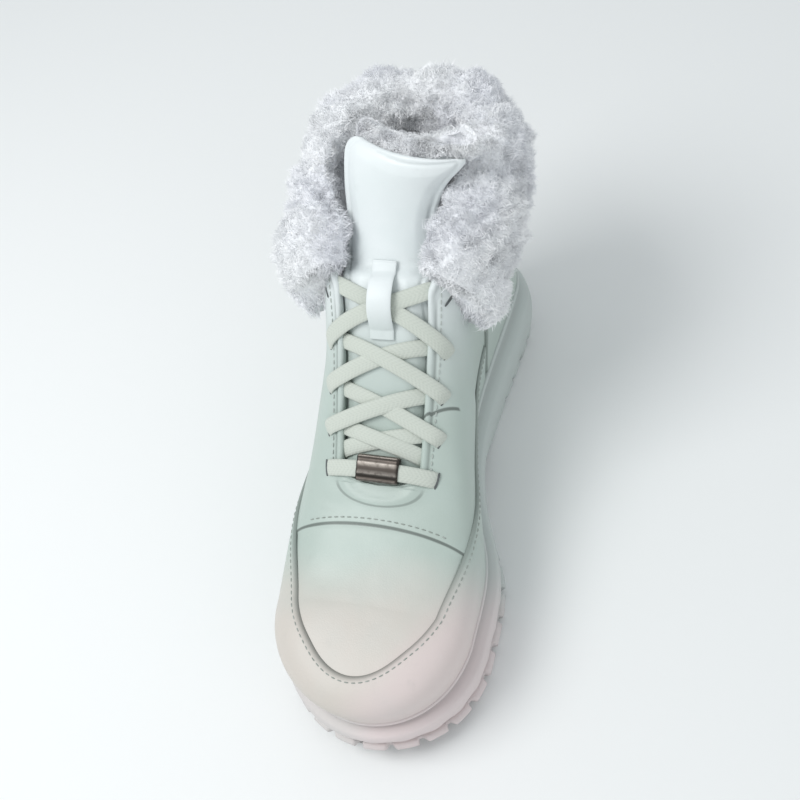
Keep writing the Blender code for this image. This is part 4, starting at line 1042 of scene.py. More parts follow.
def thread(name, colour):
    """Sewing thread with worn, paler places."""
    made = Finish(name, colour, 0.7)
    worn = made.noise(300, 3.0).smooth(0.40, 0.75) * 0.35
    tint = made.mix(worn, colour, (0.62, 0.64, 0.62))
    return made.set(Base_Color=tint, Roughness=made.noise(900, 2.0) * 0.2 + 0.6)


def slit_shadow_finish(name):
    """A painted shadow for the inside of a lace slit."""
    made = Finish(name, (0.10, 0.11, 0.11), 0.8)
    return made.set(Base_Color=made.mix(made.noise(500, 2.0), (0.06, 0.07, 0.07), (0.16, 0.17, 0.17)))


def dull_metal(name):
    """Worn metal, dark between its ribs."""
    made = Finish(name, (0.30, 0.31, 0.32), 0.32, Metallic=1.0)
    wear = made.noise(420, 4.0).smooth(0.45, 0.7)
    bright = made.mix(wear, (0.36, 0.33, 0.30), (0.20, 0.18, 0.16))
    colour = made.mix(made.value("dark").clip(), bright, (0.060, 0.052, 0.046))
    return made.set(Base_Color=colour, Roughness=made.noise(300, 3.0) * 0.3 + 0.2)


def felt(name):
    """The grey felt of the footbed."""
    made = Finish(name, (0.42, 0.42, 0.44), 1.0, Specular_IOR_Level=0.1)
    return made.set(Normal=made.bump(made.noise(500, 4.0), 0.0006, 0.7))


LEATHER = leather("boot leather", seams=True)
TRIM = leather("trim leather", roughness=0.46)
RUBBER = rubber("sole rubber")
FUR = shearling("fur base")
WOVEN = woven("lace weave")
THREAD = thread("seam thread", (0.30, 0.33, 0.30))
PALE_THREAD = thread("pale thread", (0.46, 0.50, 0.47))
SLIT_SHADOW = slit_shadow_finish("slit shadow")
WOOL = wool_hair("wool")
METAL = dull_metal("charm metal")
FELT = felt("footbed felt")
print("finishes:", len(bpy.data.materials))

# %% [markdown]
# The sole is two rings of sections: a cream tread whose lugs show as scallops round the forefoot, and
# a thick cup with a rounded wall, a bright ledge, a sunk groove and a rim that holds the leather.
# A section is a spline through the side table, turned round the whole outline.

# %% Sole
def side_profile(count):
    """The side table read smoothly: insets and heights for count steps from the tread to the rim."""
    inset, up = column_of(SIDE, "inset"), column_of(SIDE, "up")
    run = run_along(np.stack([inset * SOLE_OVERHANG, up * 0.03], -1))
    t = np.linspace(0, run[-1], count)
    return smooth_line(run, inset, t), smooth_line(run, up, t)


def smooth_line(x, y, at):
    """A curve through few points that never overshoots them."""
    step, rise = np.diff(x), np.diff(y) / np.diff(x)
    product, total = rise[:-1] * rise[1:], rise[:-1] + rise[1:]
    slope = np.zeros(len(x))
    slope[1:-1] = np.where(product > 0, 2 * product / (total + 1e-12), 0)
    slope[0], slope[-1] = rise[0], rise[-1]
    i = cell_of(x, at)
    return hermite((at - x[i]) / step[i], step[i], y, slope, i)


def fine_ring(count):
    """Even positions round the whole last."""
    return np.arange(2 * count) / count


def ladder(columns, start):
    """A cap across a closed ring whose first and middle points are heel and toe."""
    half = columns // 2
    i = np.arange(1, half - 1)
    cap = np.stack([start + i, start + i + 1, start + columns - i - 1, start + columns - i], 1)
    ends = [[start, start + 1, start + columns - 1], [start + half - 1, start + half, start + half + 1]]
    return [cap, np.array(ends)]


def edge_run(u):
    """Distance along the sole's widest line from its first point to the one after each u."""
    line = sole_ring(u, 0.0, 0.0)
    return np.cumsum(np.linalg.norm(np.diff(line, axis=0, append=line[:1]), axis=1))


def make_sole():
    """The thick cup: rings from the tread up to the rim and down its inner side, capped at both ends."""
    u = fine_ring(320)
    count = len(u)
    _, direction = centre_and_direction(u)
    front = np.clip((fold(u) - 0.60) / 0.08, 0, 1)
    ribs = (0.5 + 0.5 * np.cos(2 * np.pi * edge_run(u) / EDGE_PITCH)) * front
    rings, dark = [], []
    for inset, up in zip(*side_profile(40), strict=True):
        rib = 0.0011 * ribs * np.clip(1 - up / 0.38, 0, 1)
        line = sole_ring(u, inset * SOLE_OVERHANG, up, OUTSOLE_THICKNESS + CLEARANCE)
        line[:, :2] -= direction * rib[:, None]
        rings.append(line)
        # Painted shade in the side's groove and where the cup meets the tread.
        dark.append(np.full(count, trough(up - 0.735, 0.035) * 0.45 + trough(up, 0.03) * 0.5))
    rim = levels_at(u, np.full_like(u, RIM_HEIGHT))
    for share in (1.0, 0.5, 0.0):
        inside = skin(u, rim * share)
        inside[:, 2] = seat_height(inside[:, 1]) + RIM_HEIGHT * share
        rings.append(inside)
        # Painted shade inside the cup, under the upper.
        dark.append(np.full(count, 0.9 if share < 1 else 0.35))
    faces = [quads(len(rings), count, True)] + ladder(count, 0) + ladder(count, (len(rings) - 1) * count)
    add_piece(
        "sole_cup", np.concatenate(rings), faces, RUBBER, slot="sole_rubber", replaces=("midsole",),
        values={"dark": np.concatenate(dark)},
    )


def groove_mask(x, y):
    """Depth of the tread pattern at plan points: 1 in a groove, 0 on a lug."""
    zig = LUG_PITCH * 0.3
    wave = np.interp(np.abs(x), (0, 0.02, 0.07), (-zig, -zig, zig))
    phase = np.mod(y - LUG_FIRST - wave + LUG_PITCH / 2, LUG_PITCH) - LUG_PITCH / 2
    groove = np.clip((LUG_GROOVE / 2 - np.abs(phase)) / 0.0006 + 0.5, 0, 1)
    arch = np.clip((y - ARCH_FRONT) / 0.003, 0, 1) * np.clip((ARCH_BACK - y) / 0.003, 0, 1)
    channel = np.clip((0.0030 - np.abs(x)) / 0.0006 + 0.5, 0, 1) * (np.abs(y) < 0.118)
    return np.maximum(groove * (1 - arch), channel * 0.8)


# The tread's side: share of its thickness from the floor up, and how far in that line lies.
TREAD_SIDE = (
    (0.0, 0.0022), (0.08, 0.0010), (0.20, 0.0002), (0.45, -0.0008),
    (0.70, -0.0010), (0.88, -0.0002), (1.0, 0.0010),
)


def notches(along, pitch, half, soft):
    """1 in the notches that come once a pitch along an edge, 0 between them."""
    to_notch = pitch / 2 - np.abs(np.mod(along, pitch) - pitch / 2)
    return np.clip((half - to_notch) / soft, 0, 1)


def make_tread():
    """The tread: rings up its side with notches between the lugs, and a grid with grooves underneath."""
    u = fine_ring(360)
    count, half = len(u), len(u) // 2
    stands = soft_step((fold(u) - 0.50) / 0.14)
    rear = 1 - np.clip((fold(u) - 0.30) / 0.03, 0, 1)
    gap = notches(edge_run(u), EDGE_PITCH, 0.0022, 0.0009) * stands
    heel_gap = notches(edge_run(u), LUG_PITCH, 0.0020, 0.0008) * rear * 0.7
    base = SIDE["tread edge"][0] * SOLE_OVERHANG - stands * LUG_OUT
    rings, dark = [], []
    for share, out in TREAD_SIDE:
        notch = np.maximum(gap, heel_gap) * np.clip(1.15 - share * 0.9, 0, 1)
        line = sole_ring(u, base + out + notch * NOTCH_REACH, 0.0)
        line[:, 2] = tread_height(line[:, 1]) + OUTSOLE_THICKNESS * share
        rings.append(line)
        dark.append(notch * 0.7)
    i = np.arange(1, half)
    one, two = rings[0][i], rings[0][count - i]
    grid = one[:, None] + (two - one)[:, None] * np.linspace(0, 1, 34)[None, 1:-1, None]
    depth = groove_mask(grid[..., 0], grid[..., 1])
    grid[..., 2] = tread_height(grid[..., 1]) + depth * LUG_DEPTH
    index = len(rings) * count + np.arange(depth.size).reshape(depth.shape)
    full = np.concatenate([i[:, None], index, (count - i)[:, None]], 1)
    faces = [quads(len(rings), count, True)] + ladder(count, (len(rings) - 1) * count)
    faces.append(full.ravel()[quads(*full.shape)][:, [0, 3, 2, 1]])
    for end, line in ((0, full[0]), (half, full[-1])):
        faces.append(np.stack([line[:-1], line[1:], np.full(len(line) - 1, end)], 1))
    # Painted shade in the notches between the lugs and in the tread's grooves.
    add_piece(
        "sole_tread", np.concatenate(rings + [grid.reshape(-1, 3)]), faces, RUBBER,
        slot="tread_rubber", replaces=("outsole",),
        values={"dark": np.concatenate(dark + [depth.ravel() * 0.6])},
    )


make_sole()
make_tread()
print("sole made")

# %% [markdown]
# The upper is one shell of leather 2.4 mm thick. Each column of its grid stops at the lace opening's
# edge, found where the surface comes in to the opening's half width, so the edge is exact.
# A relief is added along the normals: seams are narrow troughs depth * exp(-(d / width)^2).

# %% Upper
THROAT_BEND = 0.009  # length of the lace opening's rounded bottom


def opening_half(y):
    """Half width of the lace opening at y, with its shallow round bottom."""
    full = throat_half(y)
    share = np.clip((y - THROAT_BOTTOM) / THROAT_BEND, 0, 1)
    return np.where(y < THROAT_BOTTOM, -1, full * np.clip(1 - (1 - share) ** 2.2, 0, 1) ** 0.5)


def top_levels(u):
    """The level at which each column ends: the collar, the ridge or the edge of the lace opening."""
    v = np.linspace(0.3, 1, 240)
    line = skin(u, v[:, None])
    centre, direction = centre_and_direction(u)
    reach = ((line[..., :2] - centre) * direction).sum(-1)
    found = np.ones(len(u))
    sideways = np.abs(direction[:, 0]) > 0.999
    beside = (centre[:, 1] > THROAT_BOTTOM) & (centre[:, 1] < THROAT_TOP)
    for i in np.flatnonzero(sideways & beside):
        half = float(opening_half(centre[i, 1]))
        inside = np.flatnonzero(reach[:, i] < half)
        if len(inside):
            k = inside[0]
            a, b = reach[k - 1, i], reach[k, i]
            found[i] = v[k - 1] + (v[k] - v[k - 1]) * (a - half) / max(a - b, 1e-9)
    return found


def make_upper():
    """The shell of the upper: the outer grid with its relief, and a grid one wall further in."""
    beside_throat = position_at(np.linspace(THROAT_BOTTOM, THROAT_BOTTOM + 0.01, 18))
    u = np.sort(np.concatenate([fine_ring(205), beside_throat]))
    u = np.unique(np.round(np.concatenate([u, 2 - u[(u > 0) & (u < 1)]]), 7))
    u = u[u < 2]
    top = top_levels(u)
    outer = skin(u, np.linspace(0, 1, 72)[:, None] * top)
    normal = normals_of(outer, closed=True)
    poles = (top > 0.9999) & (fold(u) >= ROWS[-3])
    normal[-1, poles] = unit(normal[-6, poles].mean(0))
    closed = (top > 0.9999) & (fold(u) > position_at(THROAT_BOTTOM))
    relief, dark = upper_relief(outer, u, closed)
    open_shell(
        "upper_leather", outer + normal * relief[..., None], outer - normal * WALL, LEATHER, closed,
        slot="leather", replaces=("upper",),
        values={"dark": np.concatenate([dark.ravel(), np.zeros(dark.size)])},
    )


# Creases of the vamp and quarters: both ends in plan, depth, width, all in metres.
CREASES = {
    "names": ("x0", "y0", "x1", "y1", "depth", "width"),
    "flex, medial": (0.012, -0.050, 0.036, -0.043, 0.0006, 0.0032),
    "flex, lateral": (-0.034, -0.047, -0.010, -0.052, 0.0006, 0.0034),
    "second, medial": (0.020, -0.037, 0.040, -0.030, 0.0007, 0.0030),
    "second, lateral": (-0.038, -0.030, -0.018, -0.038, 0.0006, 0.0030),
    "cap, medial": (0.010, -0.080, 0.030, -0.068, 0.0004, 0.0070),
    "cap, lateral": (-0.026, -0.078, -0.006, -0.090, 0.0004, 0.0075),
    "quarter, lateral": (-0.040, -0.004, -0.032, 0.020, 0.0007, 0.0040),
    "quarter, medial": (0.036, 0.010, 0.040, 0.034, 0.0007, 0.0045),
}


def from_line(x, y, x0, y0, x1, y1):
    """Distance in plan from a straight piece, and the share of the way along it."""
    dx, dy = x1 - x0, y1 - y0
    share = np.clip(((x - x0) * dx + (y - y0) * dy) / (dx * dx + dy * dy), 0, 1)
    return np.hypot(x - x0 - share * dx, y - y0 - share * dy), share


def upper_relief(outer, u, closed):
    """Height added to the leather, and the painted shade in its seams, at every point of the grid."""
    x, y = outer[..., 0], outer[..., 1]
    run = run_along(outer)
    from_edge = np.where(closed, 1.0, run[-1] - run)
    on_top = np.clip((run / run[-1] - 0.30) / 0.1, 0, 1)
    seam = cap_seam_y(x - centre_and_direction(u)[0][:, 0]) - y
    relief = -0.0006 * soft_step(seam / 0.0018) * np.clip(1 - seam / 0.03, 0, 1) * on_top
    lip = np.clip(1 - from_edge / 0.0034, 0, 1)
    relief += 0.0008 * np.sin(np.pi * lip) * (lip > 0)
    # Painted shade in the groove that runs 3.7 mm inside the collar and the lace opening's edge.
    dark = trough(from_edge - 0.0037, 0.0006) * 0.55
    relief -= 0.0005 * trough(from_edge - 0.0039, 0.0008)
    welt = np.hypot((x - spine_x(THROAT_BOTTOM)) / WELT[0], (y - THROAT_BOTTOM - 0.002) / WELT[1])
    ahead = (y < THROAT_BOTTOM + 0.003) * on_top
    relief += 0.0009 * trough(welt - 1.0, 0.16) * ahead
    for x0, y0, x1, y1, depth, width in list(CREASES.values())[1:]:
        away, share = from_line(x, y, x0, y0, x1, y1)
        fade = np.sin(np.pi * (share * 0.9 + 0.05)) * (run > 0.02)
        relief -= depth * trough(away, width) * fade
    return relief, dark


make_upper()
print("upper made")

# %% [markdown]
# The mudguard and the heel counter are panels on the last. Their cut edges are painted with shadow, and a
# seam of stitches follows each edge at its own distance.

# %% Sewn panels
EDGE_ROLL = 0.0009  # width of a panel's rolled edge
OFF_LEATHER = 0.00015  # how far a panel's edge stands off the leather
HEEL_STEP = 0.40  # metres to one step of u at the heel


def band_on_last(first, last, table, columns, rows):
    """A grid on the last from just under the sole's rim up to an edge table's line."""
    u = np.linspace(first, last, columns)
    folded = np.abs(np.mod(u + 1, 2) - 1)
    low = levels_at(np.mod(u, 2), np.full_like(u, RIM_HEIGHT - 0.001))
    if "level" in table["names"]:
        top = edge_curve(table, "level", folded)
    else:
        top = levels_at(np.mod(u, 2), edge_curve(table, "height", folded) * COLLAR_HEIGHT)
    v = low + (top - low) * np.linspace(0, 1, rows)[:, None]
    grid = skin(np.mod(u, 2), v)
    return grid, normals_of(grid)


def sewn_panel(name, node, grid, normal, thickness):
    """A sheet on the last, whose edges above the sole are painted with shadow and roll down to the leather.

    Its height is thickness * sqrt(1 - (1 - d / roll)^2), with d the distance from the edge."""
    away = edge_distance(grid, (0, 1, 1, 1))
    height = thickness * quarter_circle(away / EDGE_ROLL) + OFF_LEATHER
    # Painted shadow along the cut edges, and painted shade over the whole underside.
    closed_slab(
        name, grid + normal * height[..., None], grid, TRIM, slot="leather", replaces=(node,),
        values={"dark": np.concatenate([trough(away, 0.0015).ravel() * 0.85, np.ones(away.size)])},
    )


start = MUDGUARD_EDGE["back end"][0]
GUARD, GUARD_NORMAL = band_on_last(start, 2 - start, MUDGUARD_EDGE, 400, 28)
sewn_panel("mudguard_leather", "mudguard", GUARD, GUARD_NORMAL, OVERLAY)
end = COUNTER_EDGE["front"][0]
COUNTER, COUNTER_NORMAL = band_on_last(-end, end, COUNTER_EDGE, 240, 34)
sewn_panel("heel_counter_leather", "heel_counter", COUNTER, COUNTER_NORMAL, OVERLAY)
half = TAB_WIDTH / 2 / HEEL_STEP
tab_u = np.linspace(-half, half, 60)
tab_low = edge_curve(COUNTER_EDGE, "height", np.abs(tab_u)) * COLLAR_HEIGHT - 0.002
tab_rows = [tab_low + (TAB_TOP - tab_low) * s for s in np.linspace(0, 1, 60)]
TAB = skin(np.mod(tab_u, 2), np.array([levels_at(np.mod(tab_u, 2), height) for height in tab_rows]))
TAB_NORMAL = normals_of(TAB)
sewn_panel("heel_pull_tab_leather", "heel_pull_tab", TAB, TAB_NORMAL, TAB_THICKNESS)
print("panels made")

# %% [markdown]
# The tongue is a padded blade. Its short table of rows is read as smooth curves in both directions,
# and a grid of quads follows them. Its free end is leather in front and shearling behind.

# %% Tongue
def resample(values, count):
    """A row of values read at more even places."""
    at = np.linspace(0, len(values) - 1, count)
    flat = values.reshape(len(values), -1)
    made = np.stack([natural(flat[:, k], at) for k in range(flat.shape[1])], 1)
    return made.reshape((count,) + values.shape[1:])


def refine(grid, rows, columns):
    """A finer grid through a coarse one, smooth in both directions."""
    tall = resample(grid, rows)
    return resample(tall.transpose(1, 0, 2), columns).transpose(1, 0, 2)


def natural(y, at):
    """A soft curve through points one apart: Catmull-Rom."""
    i = np.clip(at.astype(int), 0, len(y) - 2)
    return hermite(at - i, 1, y, np.gradient(y), i)


def round_tip(grid, radius):
    """A sheet whose two last corners are rounded: each row near the end is narrowed by a circle."""
    middle = grid.mean(1, keepdims=True)
    to_tip = run_along(grid[::-1, grid.shape[1] // 2])[::-1]
    short = np.clip(radius - to_tip, 0, radius)
    cut = radius - np.sqrt(radius**2 - short**2)
    half = np.linalg.norm(grid[:, -1] - grid[:, 0], axis=1) / 2
    return middle + (grid - middle) * (1 - cut / half)[:, None, None]


TONGUE_GRID = refine(tongue_rows(), 150, 64)
TONGUE = round_tip(TONGUE_GRID, 0.008)
TONGUE_NORMAL = sheet_normals(TONGUE)
side = edge_distance(TONGUE)
pad = 0.0012 * np.clip((side - 0.004) / 0.006, 0, 1) - 0.0006 * trough(side - 0.0038, 0.0008)
body = np.minimum(1, side / 0.0022)
front = TONGUE + TONGUE_NORMAL * (pad - 0.0011 * (1 - quarter_circle(body)))[..., None]
back = TONGUE - TONGUE_NORMAL * (TONGUE_THICKNESS * (0.45 + 0.55 * body))[..., None]
tongue = closed_slab("tongue_leather", front, back, LEATHER, slot="leather", replaces=("tongue",))
free = TONGUE_GRID[int(150 * FUR_FROM_ROW / 14) :]
tip = unit(free[-1] - free[-4])
above = np.array([free[-1] + tip * FUR_ABOVE_TIP * s for s in np.linspace(0.1, 1, 14)])
FUR_FACE = round_tip(np.concatenate([free, above]), 0.009)
fur_normal = sheet_normals(FUR_FACE)
round_off = quarter_circle(edge_distance(FUR_FACE) / 0.007)
FUR_FRONT = FUR_FACE - fur_normal * (TONGUE_THICKNESS + 0.0004 + 0.003 * (1 - round_off))[..., None]
rows, columns = FUR_FRONT.shape[:2]
lumps = lock_pattern(*np.mgrid[0:rows, 0:columns] * np.array([0.19, 0.24])[:, None, None])
depth = (TONGUE_FUR + LOCK_DEPTH * lumps) * (0.25 + 0.75 * round_off)
TONGUE_FUR_BACK = FUR_FRONT - fur_normal * depth[..., None]
closed_slab("tongue_shearling", FUR_FRONT, TONGUE_FUR_BACK, FUR, slot="shearling", replaces=("tongue_fur",))
print("tongue made")

# %% [markdown]
# The collar's shearling is a roll swept round the collar's edge, hooked over the leather. Its section
# table is read as a smooth ring, and lumps from slow noise swell it along its normals.

# %% Fur roll
FUR_COLUMNS = 250  # sections round the collar
FUR_SOFT, FUR_HIDDEN = 76, 20  # points of a section in the fur, and in its slot for the leather


def fur_roll(columns, points):
    """The roll's sections as a grid of rings, from the lateral end round the heel to the medial one."""
    end = float(position_at(CUFF_FRONT))
    grid = []
    for u in np.linspace(-end, end, columns):
        soft, slot = cuff_section(u / end)
        close = max(0.0, (abs(u) / end - 0.90) / 0.10) ** 2
        ring = []
        for down, out in soft + slot:
            out = out * (1 - 0.40 * close) if out > CLEARANCE * 8 else out
            down = down * (1 - 0.15 * close) if down > 0 else down
            ring.append((down, out))
        grid.append(collar_points(np.mod(u, 2), np.array(ring)))
    grid = np.array(grid)
    shown = refine(grid[:, : len(soft)], columns, points)
    return np.concatenate([shown, refine(grid[:, len(soft) :], columns, FUR_HIDDEN)], 1)


def collar_points(u, places):
    """Points beside the collar: down its skin from the top edge and out along its normal."""
    v = np.linspace(0.3, 1, 60)
    line = skin(np.full_like(v, u), v)[::-1]
    normal = (skin(np.full_like(v, u), v, 1.0) - skin(np.full_like(v, u), v))[::-1]
    length = run_along(line)
    down, out = places[:, 0], places[:, 1]
    rise = unit(line[0] - line[1]) * np.maximum(-down, 0)[:, None]
    return read_line(down, length, line) + rise + read_line(down, length, normal) * out[:, None]


def cloud(points, scale, seed=0.0):
    """Slow three-way waves between -1 and 1, used for lumps of fur."""
    p = points * scale + seed
    a = np.sin(p[..., 0] + 1.7 * np.sin(p[..., 1] * 0.8 + 0.6 * p[..., 2]))
    b = np.sin(p[..., 1] * 1.1 + 1.5 * np.sin(p[..., 2] * 0.9 + seed) + 1.3)
    c = np.sin(p[..., 2] * 1.2 + 1.4 * np.sin(p[..., 0] * 0.7 + 2.1))
    return (a + b + c) / 3


ROLL = fur_roll(FUR_COLUMNS, FUR_SOFT)
roll_normal = unit(np.cross(np.gradient(ROLL, axis=1), np.gradient(ROLL, axis=0)))
middle = ROLL[:, :FUR_SOFT].mean(1, keepdims=True)
if ((ROLL - middle)[:, :FUR_SOFT] * roll_normal[:, :FUR_SOFT]).sum() < 0:
    roll_normal = -roll_normal
soft = np.zeros(ROLL.shape[:2])
soft[:, :FUR_SOFT] = np.sin(np.pi * np.linspace(0, 1, FUR_SOFT)) ** 0.25
ends = np.clip(np.minimum(np.arange(FUR_COLUMNS), np.arange(FUR_COLUMNS)[::-1]) / 12, 0, 1)[:, None]
lumps = 0.0024 * cloud(ROLL, 260) + 0.0018 * cloud(ROLL, 560, 2.0) + 0.0008 * cloud(ROLL, 1300, 5.0)
ROLL_SHOWN = ROLL + roll_normal * (lumps * soft * ends)[..., None]
# The value dark is painted shade in the hollows between the lumps.
add_piece(
    "fur_roll", ROLL_SHOWN, capped_tube(*ROLL.shape[:2]), FUR, slot="shearling", replaces=("fur_cuff",),
    values={"dark": np.clip(-lumps * soft / 0.004, 0, 1)},
)
print("fur roll made")

# %% [markdown]
# Laces are flat woven bands. Each leaves its slit, lies on the leather, crosses the tongue and dives
# under the far edge. A band is a line of points with normals, widened to a rounded strip.

# %% Laces and trim
BAND_ROWS, BAND_SIDES = 90, 28
HIDDEN_END = (0.005, 0.0014, -0.0034)  # from a lace's last stop to its end under the leather


def band(name, line, normals, width, thickness, finish, slot, replaces):
    """A rounded strip along a line, with its length and breadth kept for the weave."""
    line, normals = resample(line, BAND_ROWS), resample(normals, BAND_ROWS)
    along = np.gradient(line, axis=0)
    side = unit(np.cross(along, normals))
    up = unit(np.cross(side, along))
    angle = circle(BAND_SIDES)
    across = squared(np.cos(angle), 0.55) / 2
    rise = squared(np.sin(angle), 0.8) / 2 * thickness + 0.00025 * np.cos(across * np.pi)
    points = line[:, None] + side[:, None] * (across * width)[:, None] + up[:, None] * rise[:, None]
    values = {"along": np.repeat(run_along(line), BAND_SIDES), "across": np.tile(across * width, BAND_ROWS)}
    add_piece(
        name, points, capped_tube(BAND_ROWS, BAND_SIDES), finish, slot=slot, replaces=replaces,
        values=values, merge=0,
    )


def fine_lace_line(stops):
    """Points and normals of a lace over the foot through (x, y, height above the leather) stops."""
    stops = np.array(stops)
    t = np.linspace(0, len(stops) - 1, 24)
    x, y, lift = (natural(stops[:, k], t) for k in range(3))
    normals = np.array([normal_over(a, b) for a, b in zip(x, y, strict=True)])
    line = np.array([over_foot(a, b) for a, b in zip(x, y, strict=True)]) + normals * lift[:, None]
    for _ in range(3):
        line[1:-1] = (line[:-2] + 2 * line[1:-1] + line[2:]) / 4
        normals[1:-1] = (normals[:-2] + 2 * normals[1:-1] + normals[2:]) / 4
    return line, normals


def lace(name, stops, node):
    """A lace over the foot through its stops."""
    line, normals = fine_lace_line(stops)
    band(name, line, normals, LACE_WIDTH, LACE_THICKNESS, WOVEN, "lace", (node,))


pairs = eyelet_places()
(x0, y0), (x1, _) = pairs[0]
flat = 0.0003 + LACE_THICKNESS / 2
lifts = {0: -0.003, 0.06: 0, 0.3: 0.0022, 0.5: 0.0022, 0.7: 0.0022, 0.94: 0, 1: -0.003}
stops = [(x0 + (x1 - x0) * share, y0, flat + lift) for share, lift in lifts.items()]
lace("lace_bar_weave", stops, "lace_bar")
for i in range(EYELET_ROWS - 1):
    (left_low, right_low), (left_high, right_high) = pairs[i], pairs[i + 1]
    for side, low, high in ((1, left_low, right_high), (-1, right_low, left_high)):
        stops = crossing_run(low, high, side, (i % 2 == 1) == (side == 1), i == 0)
        (x0, y0, _), (x1, y1, _) = stops[0], stops[-1]
        out, up, down = HIDDEN_END
        if i > 0:
            stops[0] = (low[0] - side * 0.0015, low[1] - 0.0008, -0.0022)
            stops.insert(1, (low[0] + side * 0.0020, low[1] + 0.0005, flat))
        else:
            stops.insert(0, (x0 - side * out, y0 - up, down))
        stops.append((x1 + side * out, y1 + up, down))
        lace(f"lace_{i + 1}_{'a' if side > 0 else 'b'}", stops, f"lace_cross_{i + 1}")
length, line, normal = tongue_line()
t = np.linspace(LOOP_FROM, LOOP_FROM + LOOP_LENGTH, 25)
at, out = read_line(t, length, line), read_line(t, length, normal)
share = np.clip(((t - LOOP_FROM) / LOOP_LENGTH - 0.12) / 0.70, 0, 1)
rise = 0.0014 + LOOP_THICKNESS / 2 + LOOP_RISE * np.maximum(np.sin(np.pi * share), 0)
line = at + out * rise[:, None]
band("tongue_loop_strap", line, out, LOOP_WIDTH, LOOP_THICKNESS, TRIM, "leather", ("tongue_loop",))
print("laces made")

# %% [markdown]
# Shearling is curled wool. Each hair is a thin blade of five points that leaves its root along the
# surface normal, leans with a slow field so that neighbours clump, and curls by sin(t) sideways. The
# roots are spread by area: a random triangle, then a random point in it.

# %% Wool
HAIR_SHAPE = ((0.0, 1.0), (0.36, 0.9), (0.70, 0.6), (1.0, 0.0))  # shares of the length and the width
HAIR_WIDTH = 0.00042
LOCKS = 260  # locks of hair to a metre
HAIR_SUNK = 0.0004  # how far a root lies under the surface


def scatter(grid, count, weight=None):
    """Random points on a grid of points, spread by area, with their rows and columns as fractions."""
    a, b, c = grid[:-1, :-1], grid[1:, :-1], grid[:-1, 1:]
    area = np.linalg.norm(np.cross(b - a, c - a), axis=-1)
    if weight is not None:
        area = area * weight[:-1, :-1]
    chosen = RANDOM.choice(area.size, count, p=(area / area.sum()).ravel())
    row, column = np.unravel_index(chosen, area.shape)
    s, t = RANDOM.random(count), RANDOM.random(count)
    return row + s, column + t


def read_grid(grid, row, column):
    """Values of a grid between its points."""
    r, c = row.astype(int), column.astype(int)
    s, t = (row - r)[:, None], (column - c)[:, None]
    return (
        grid[r, c] * (1 - s) * (1 - t) + grid[r + 1, c] * s * (1 - t)
        + grid[r, c + 1] * (1 - s) * t + grid[r + 1, c + 1] * s * t
    )


def field(points, scale, seed):
    """A slow vector field made of three clouds."""
    return np.stack([cloud(points, scale, seed + axis * 3.1) for axis in range(3)], -1)


def wool(name, grid, normal, count, length, node, weight=None, pieces=1):
    """Curled hairs on a grid, as thin blades split over several pieces."""
    for part in range(pieces):
        row, column = scatter(grid, count // pieces, weight)
        root, up = read_grid(grid, row, column), unit(read_grid(normal, row, column))
        number = len(root)
        lock = np.round(root * LOCKS)
        pick = np.sin(lock @ np.array([12.9898, 78.233, 37.719])) * 43758.5453
        pick = (pick - np.floor(pick))[:, None]
        clump = field(lock / LOCKS + pick * 0.01, 420, 1.0) * 0.75 + field(root, 150, 4.0) * 0.55
        lean = clump + RANDOM.normal(0, 0.30, (number, 3))
        side = unit(np.cross(up, lean))
        size = length * (0.62 + 0.55 * RANDOM.random((number, 1)) + 0.25 * (pick - 0.5))
        curl = 0.9 + 0.8 * RANDOM.random((number, 1))
        curl = curl * np.where(RANDOM.random((number, 1)) < 0.5, -1, 1)
        points, roots = [], []
        for t, thin in HAIR_SHAPE:
            way = up * (t - 0.30 * t * t) + lean * (0.55 * t * t)
            middle = root + size * (way + side * curl * 0.20 * np.sin(t * 4.2)) - up * HAIR_SUNK
            for half in (-0.5, 0.5) if thin else (0,):
                points.append(middle + side * HAIR_WIDTH * thin * half)
                roots.append(np.full(number, t))
        step = len(points)
        base = np.arange(number)[:, None] * step
        blades = [base + np.array([k, k + 1, k + 3, k + 2]) for k in range(0, step - 3, 2)]
        tips = base + np.array([step - 3, step - 2, step - 1])
        add_piece(
            f"{name}_{part + 1}", np.stack(points, 1).reshape(-1, 3), [np.concatenate(blades), tips],
            WOOL, slot="shearling", replaces=(node,), merge=0,
            values={"root": np.stack(roots, 1).ravel(), "shade": np.repeat(pick[:, 0], step)},
        )


print("wool ready")

# %% [markdown]
# The shaft is lined with fleece as far as the lace opening, and wool stands on the fur roll and on the
# tongue's back. The hidden side of the roll gets none.

# %% Fleece and hairs
def between(first, last, low, high):
    """Eight lines from one line to another, between two shares of the way."""
    return np.stack([first * (1 - share) + last * share for share in np.linspace(low, high, 8)])


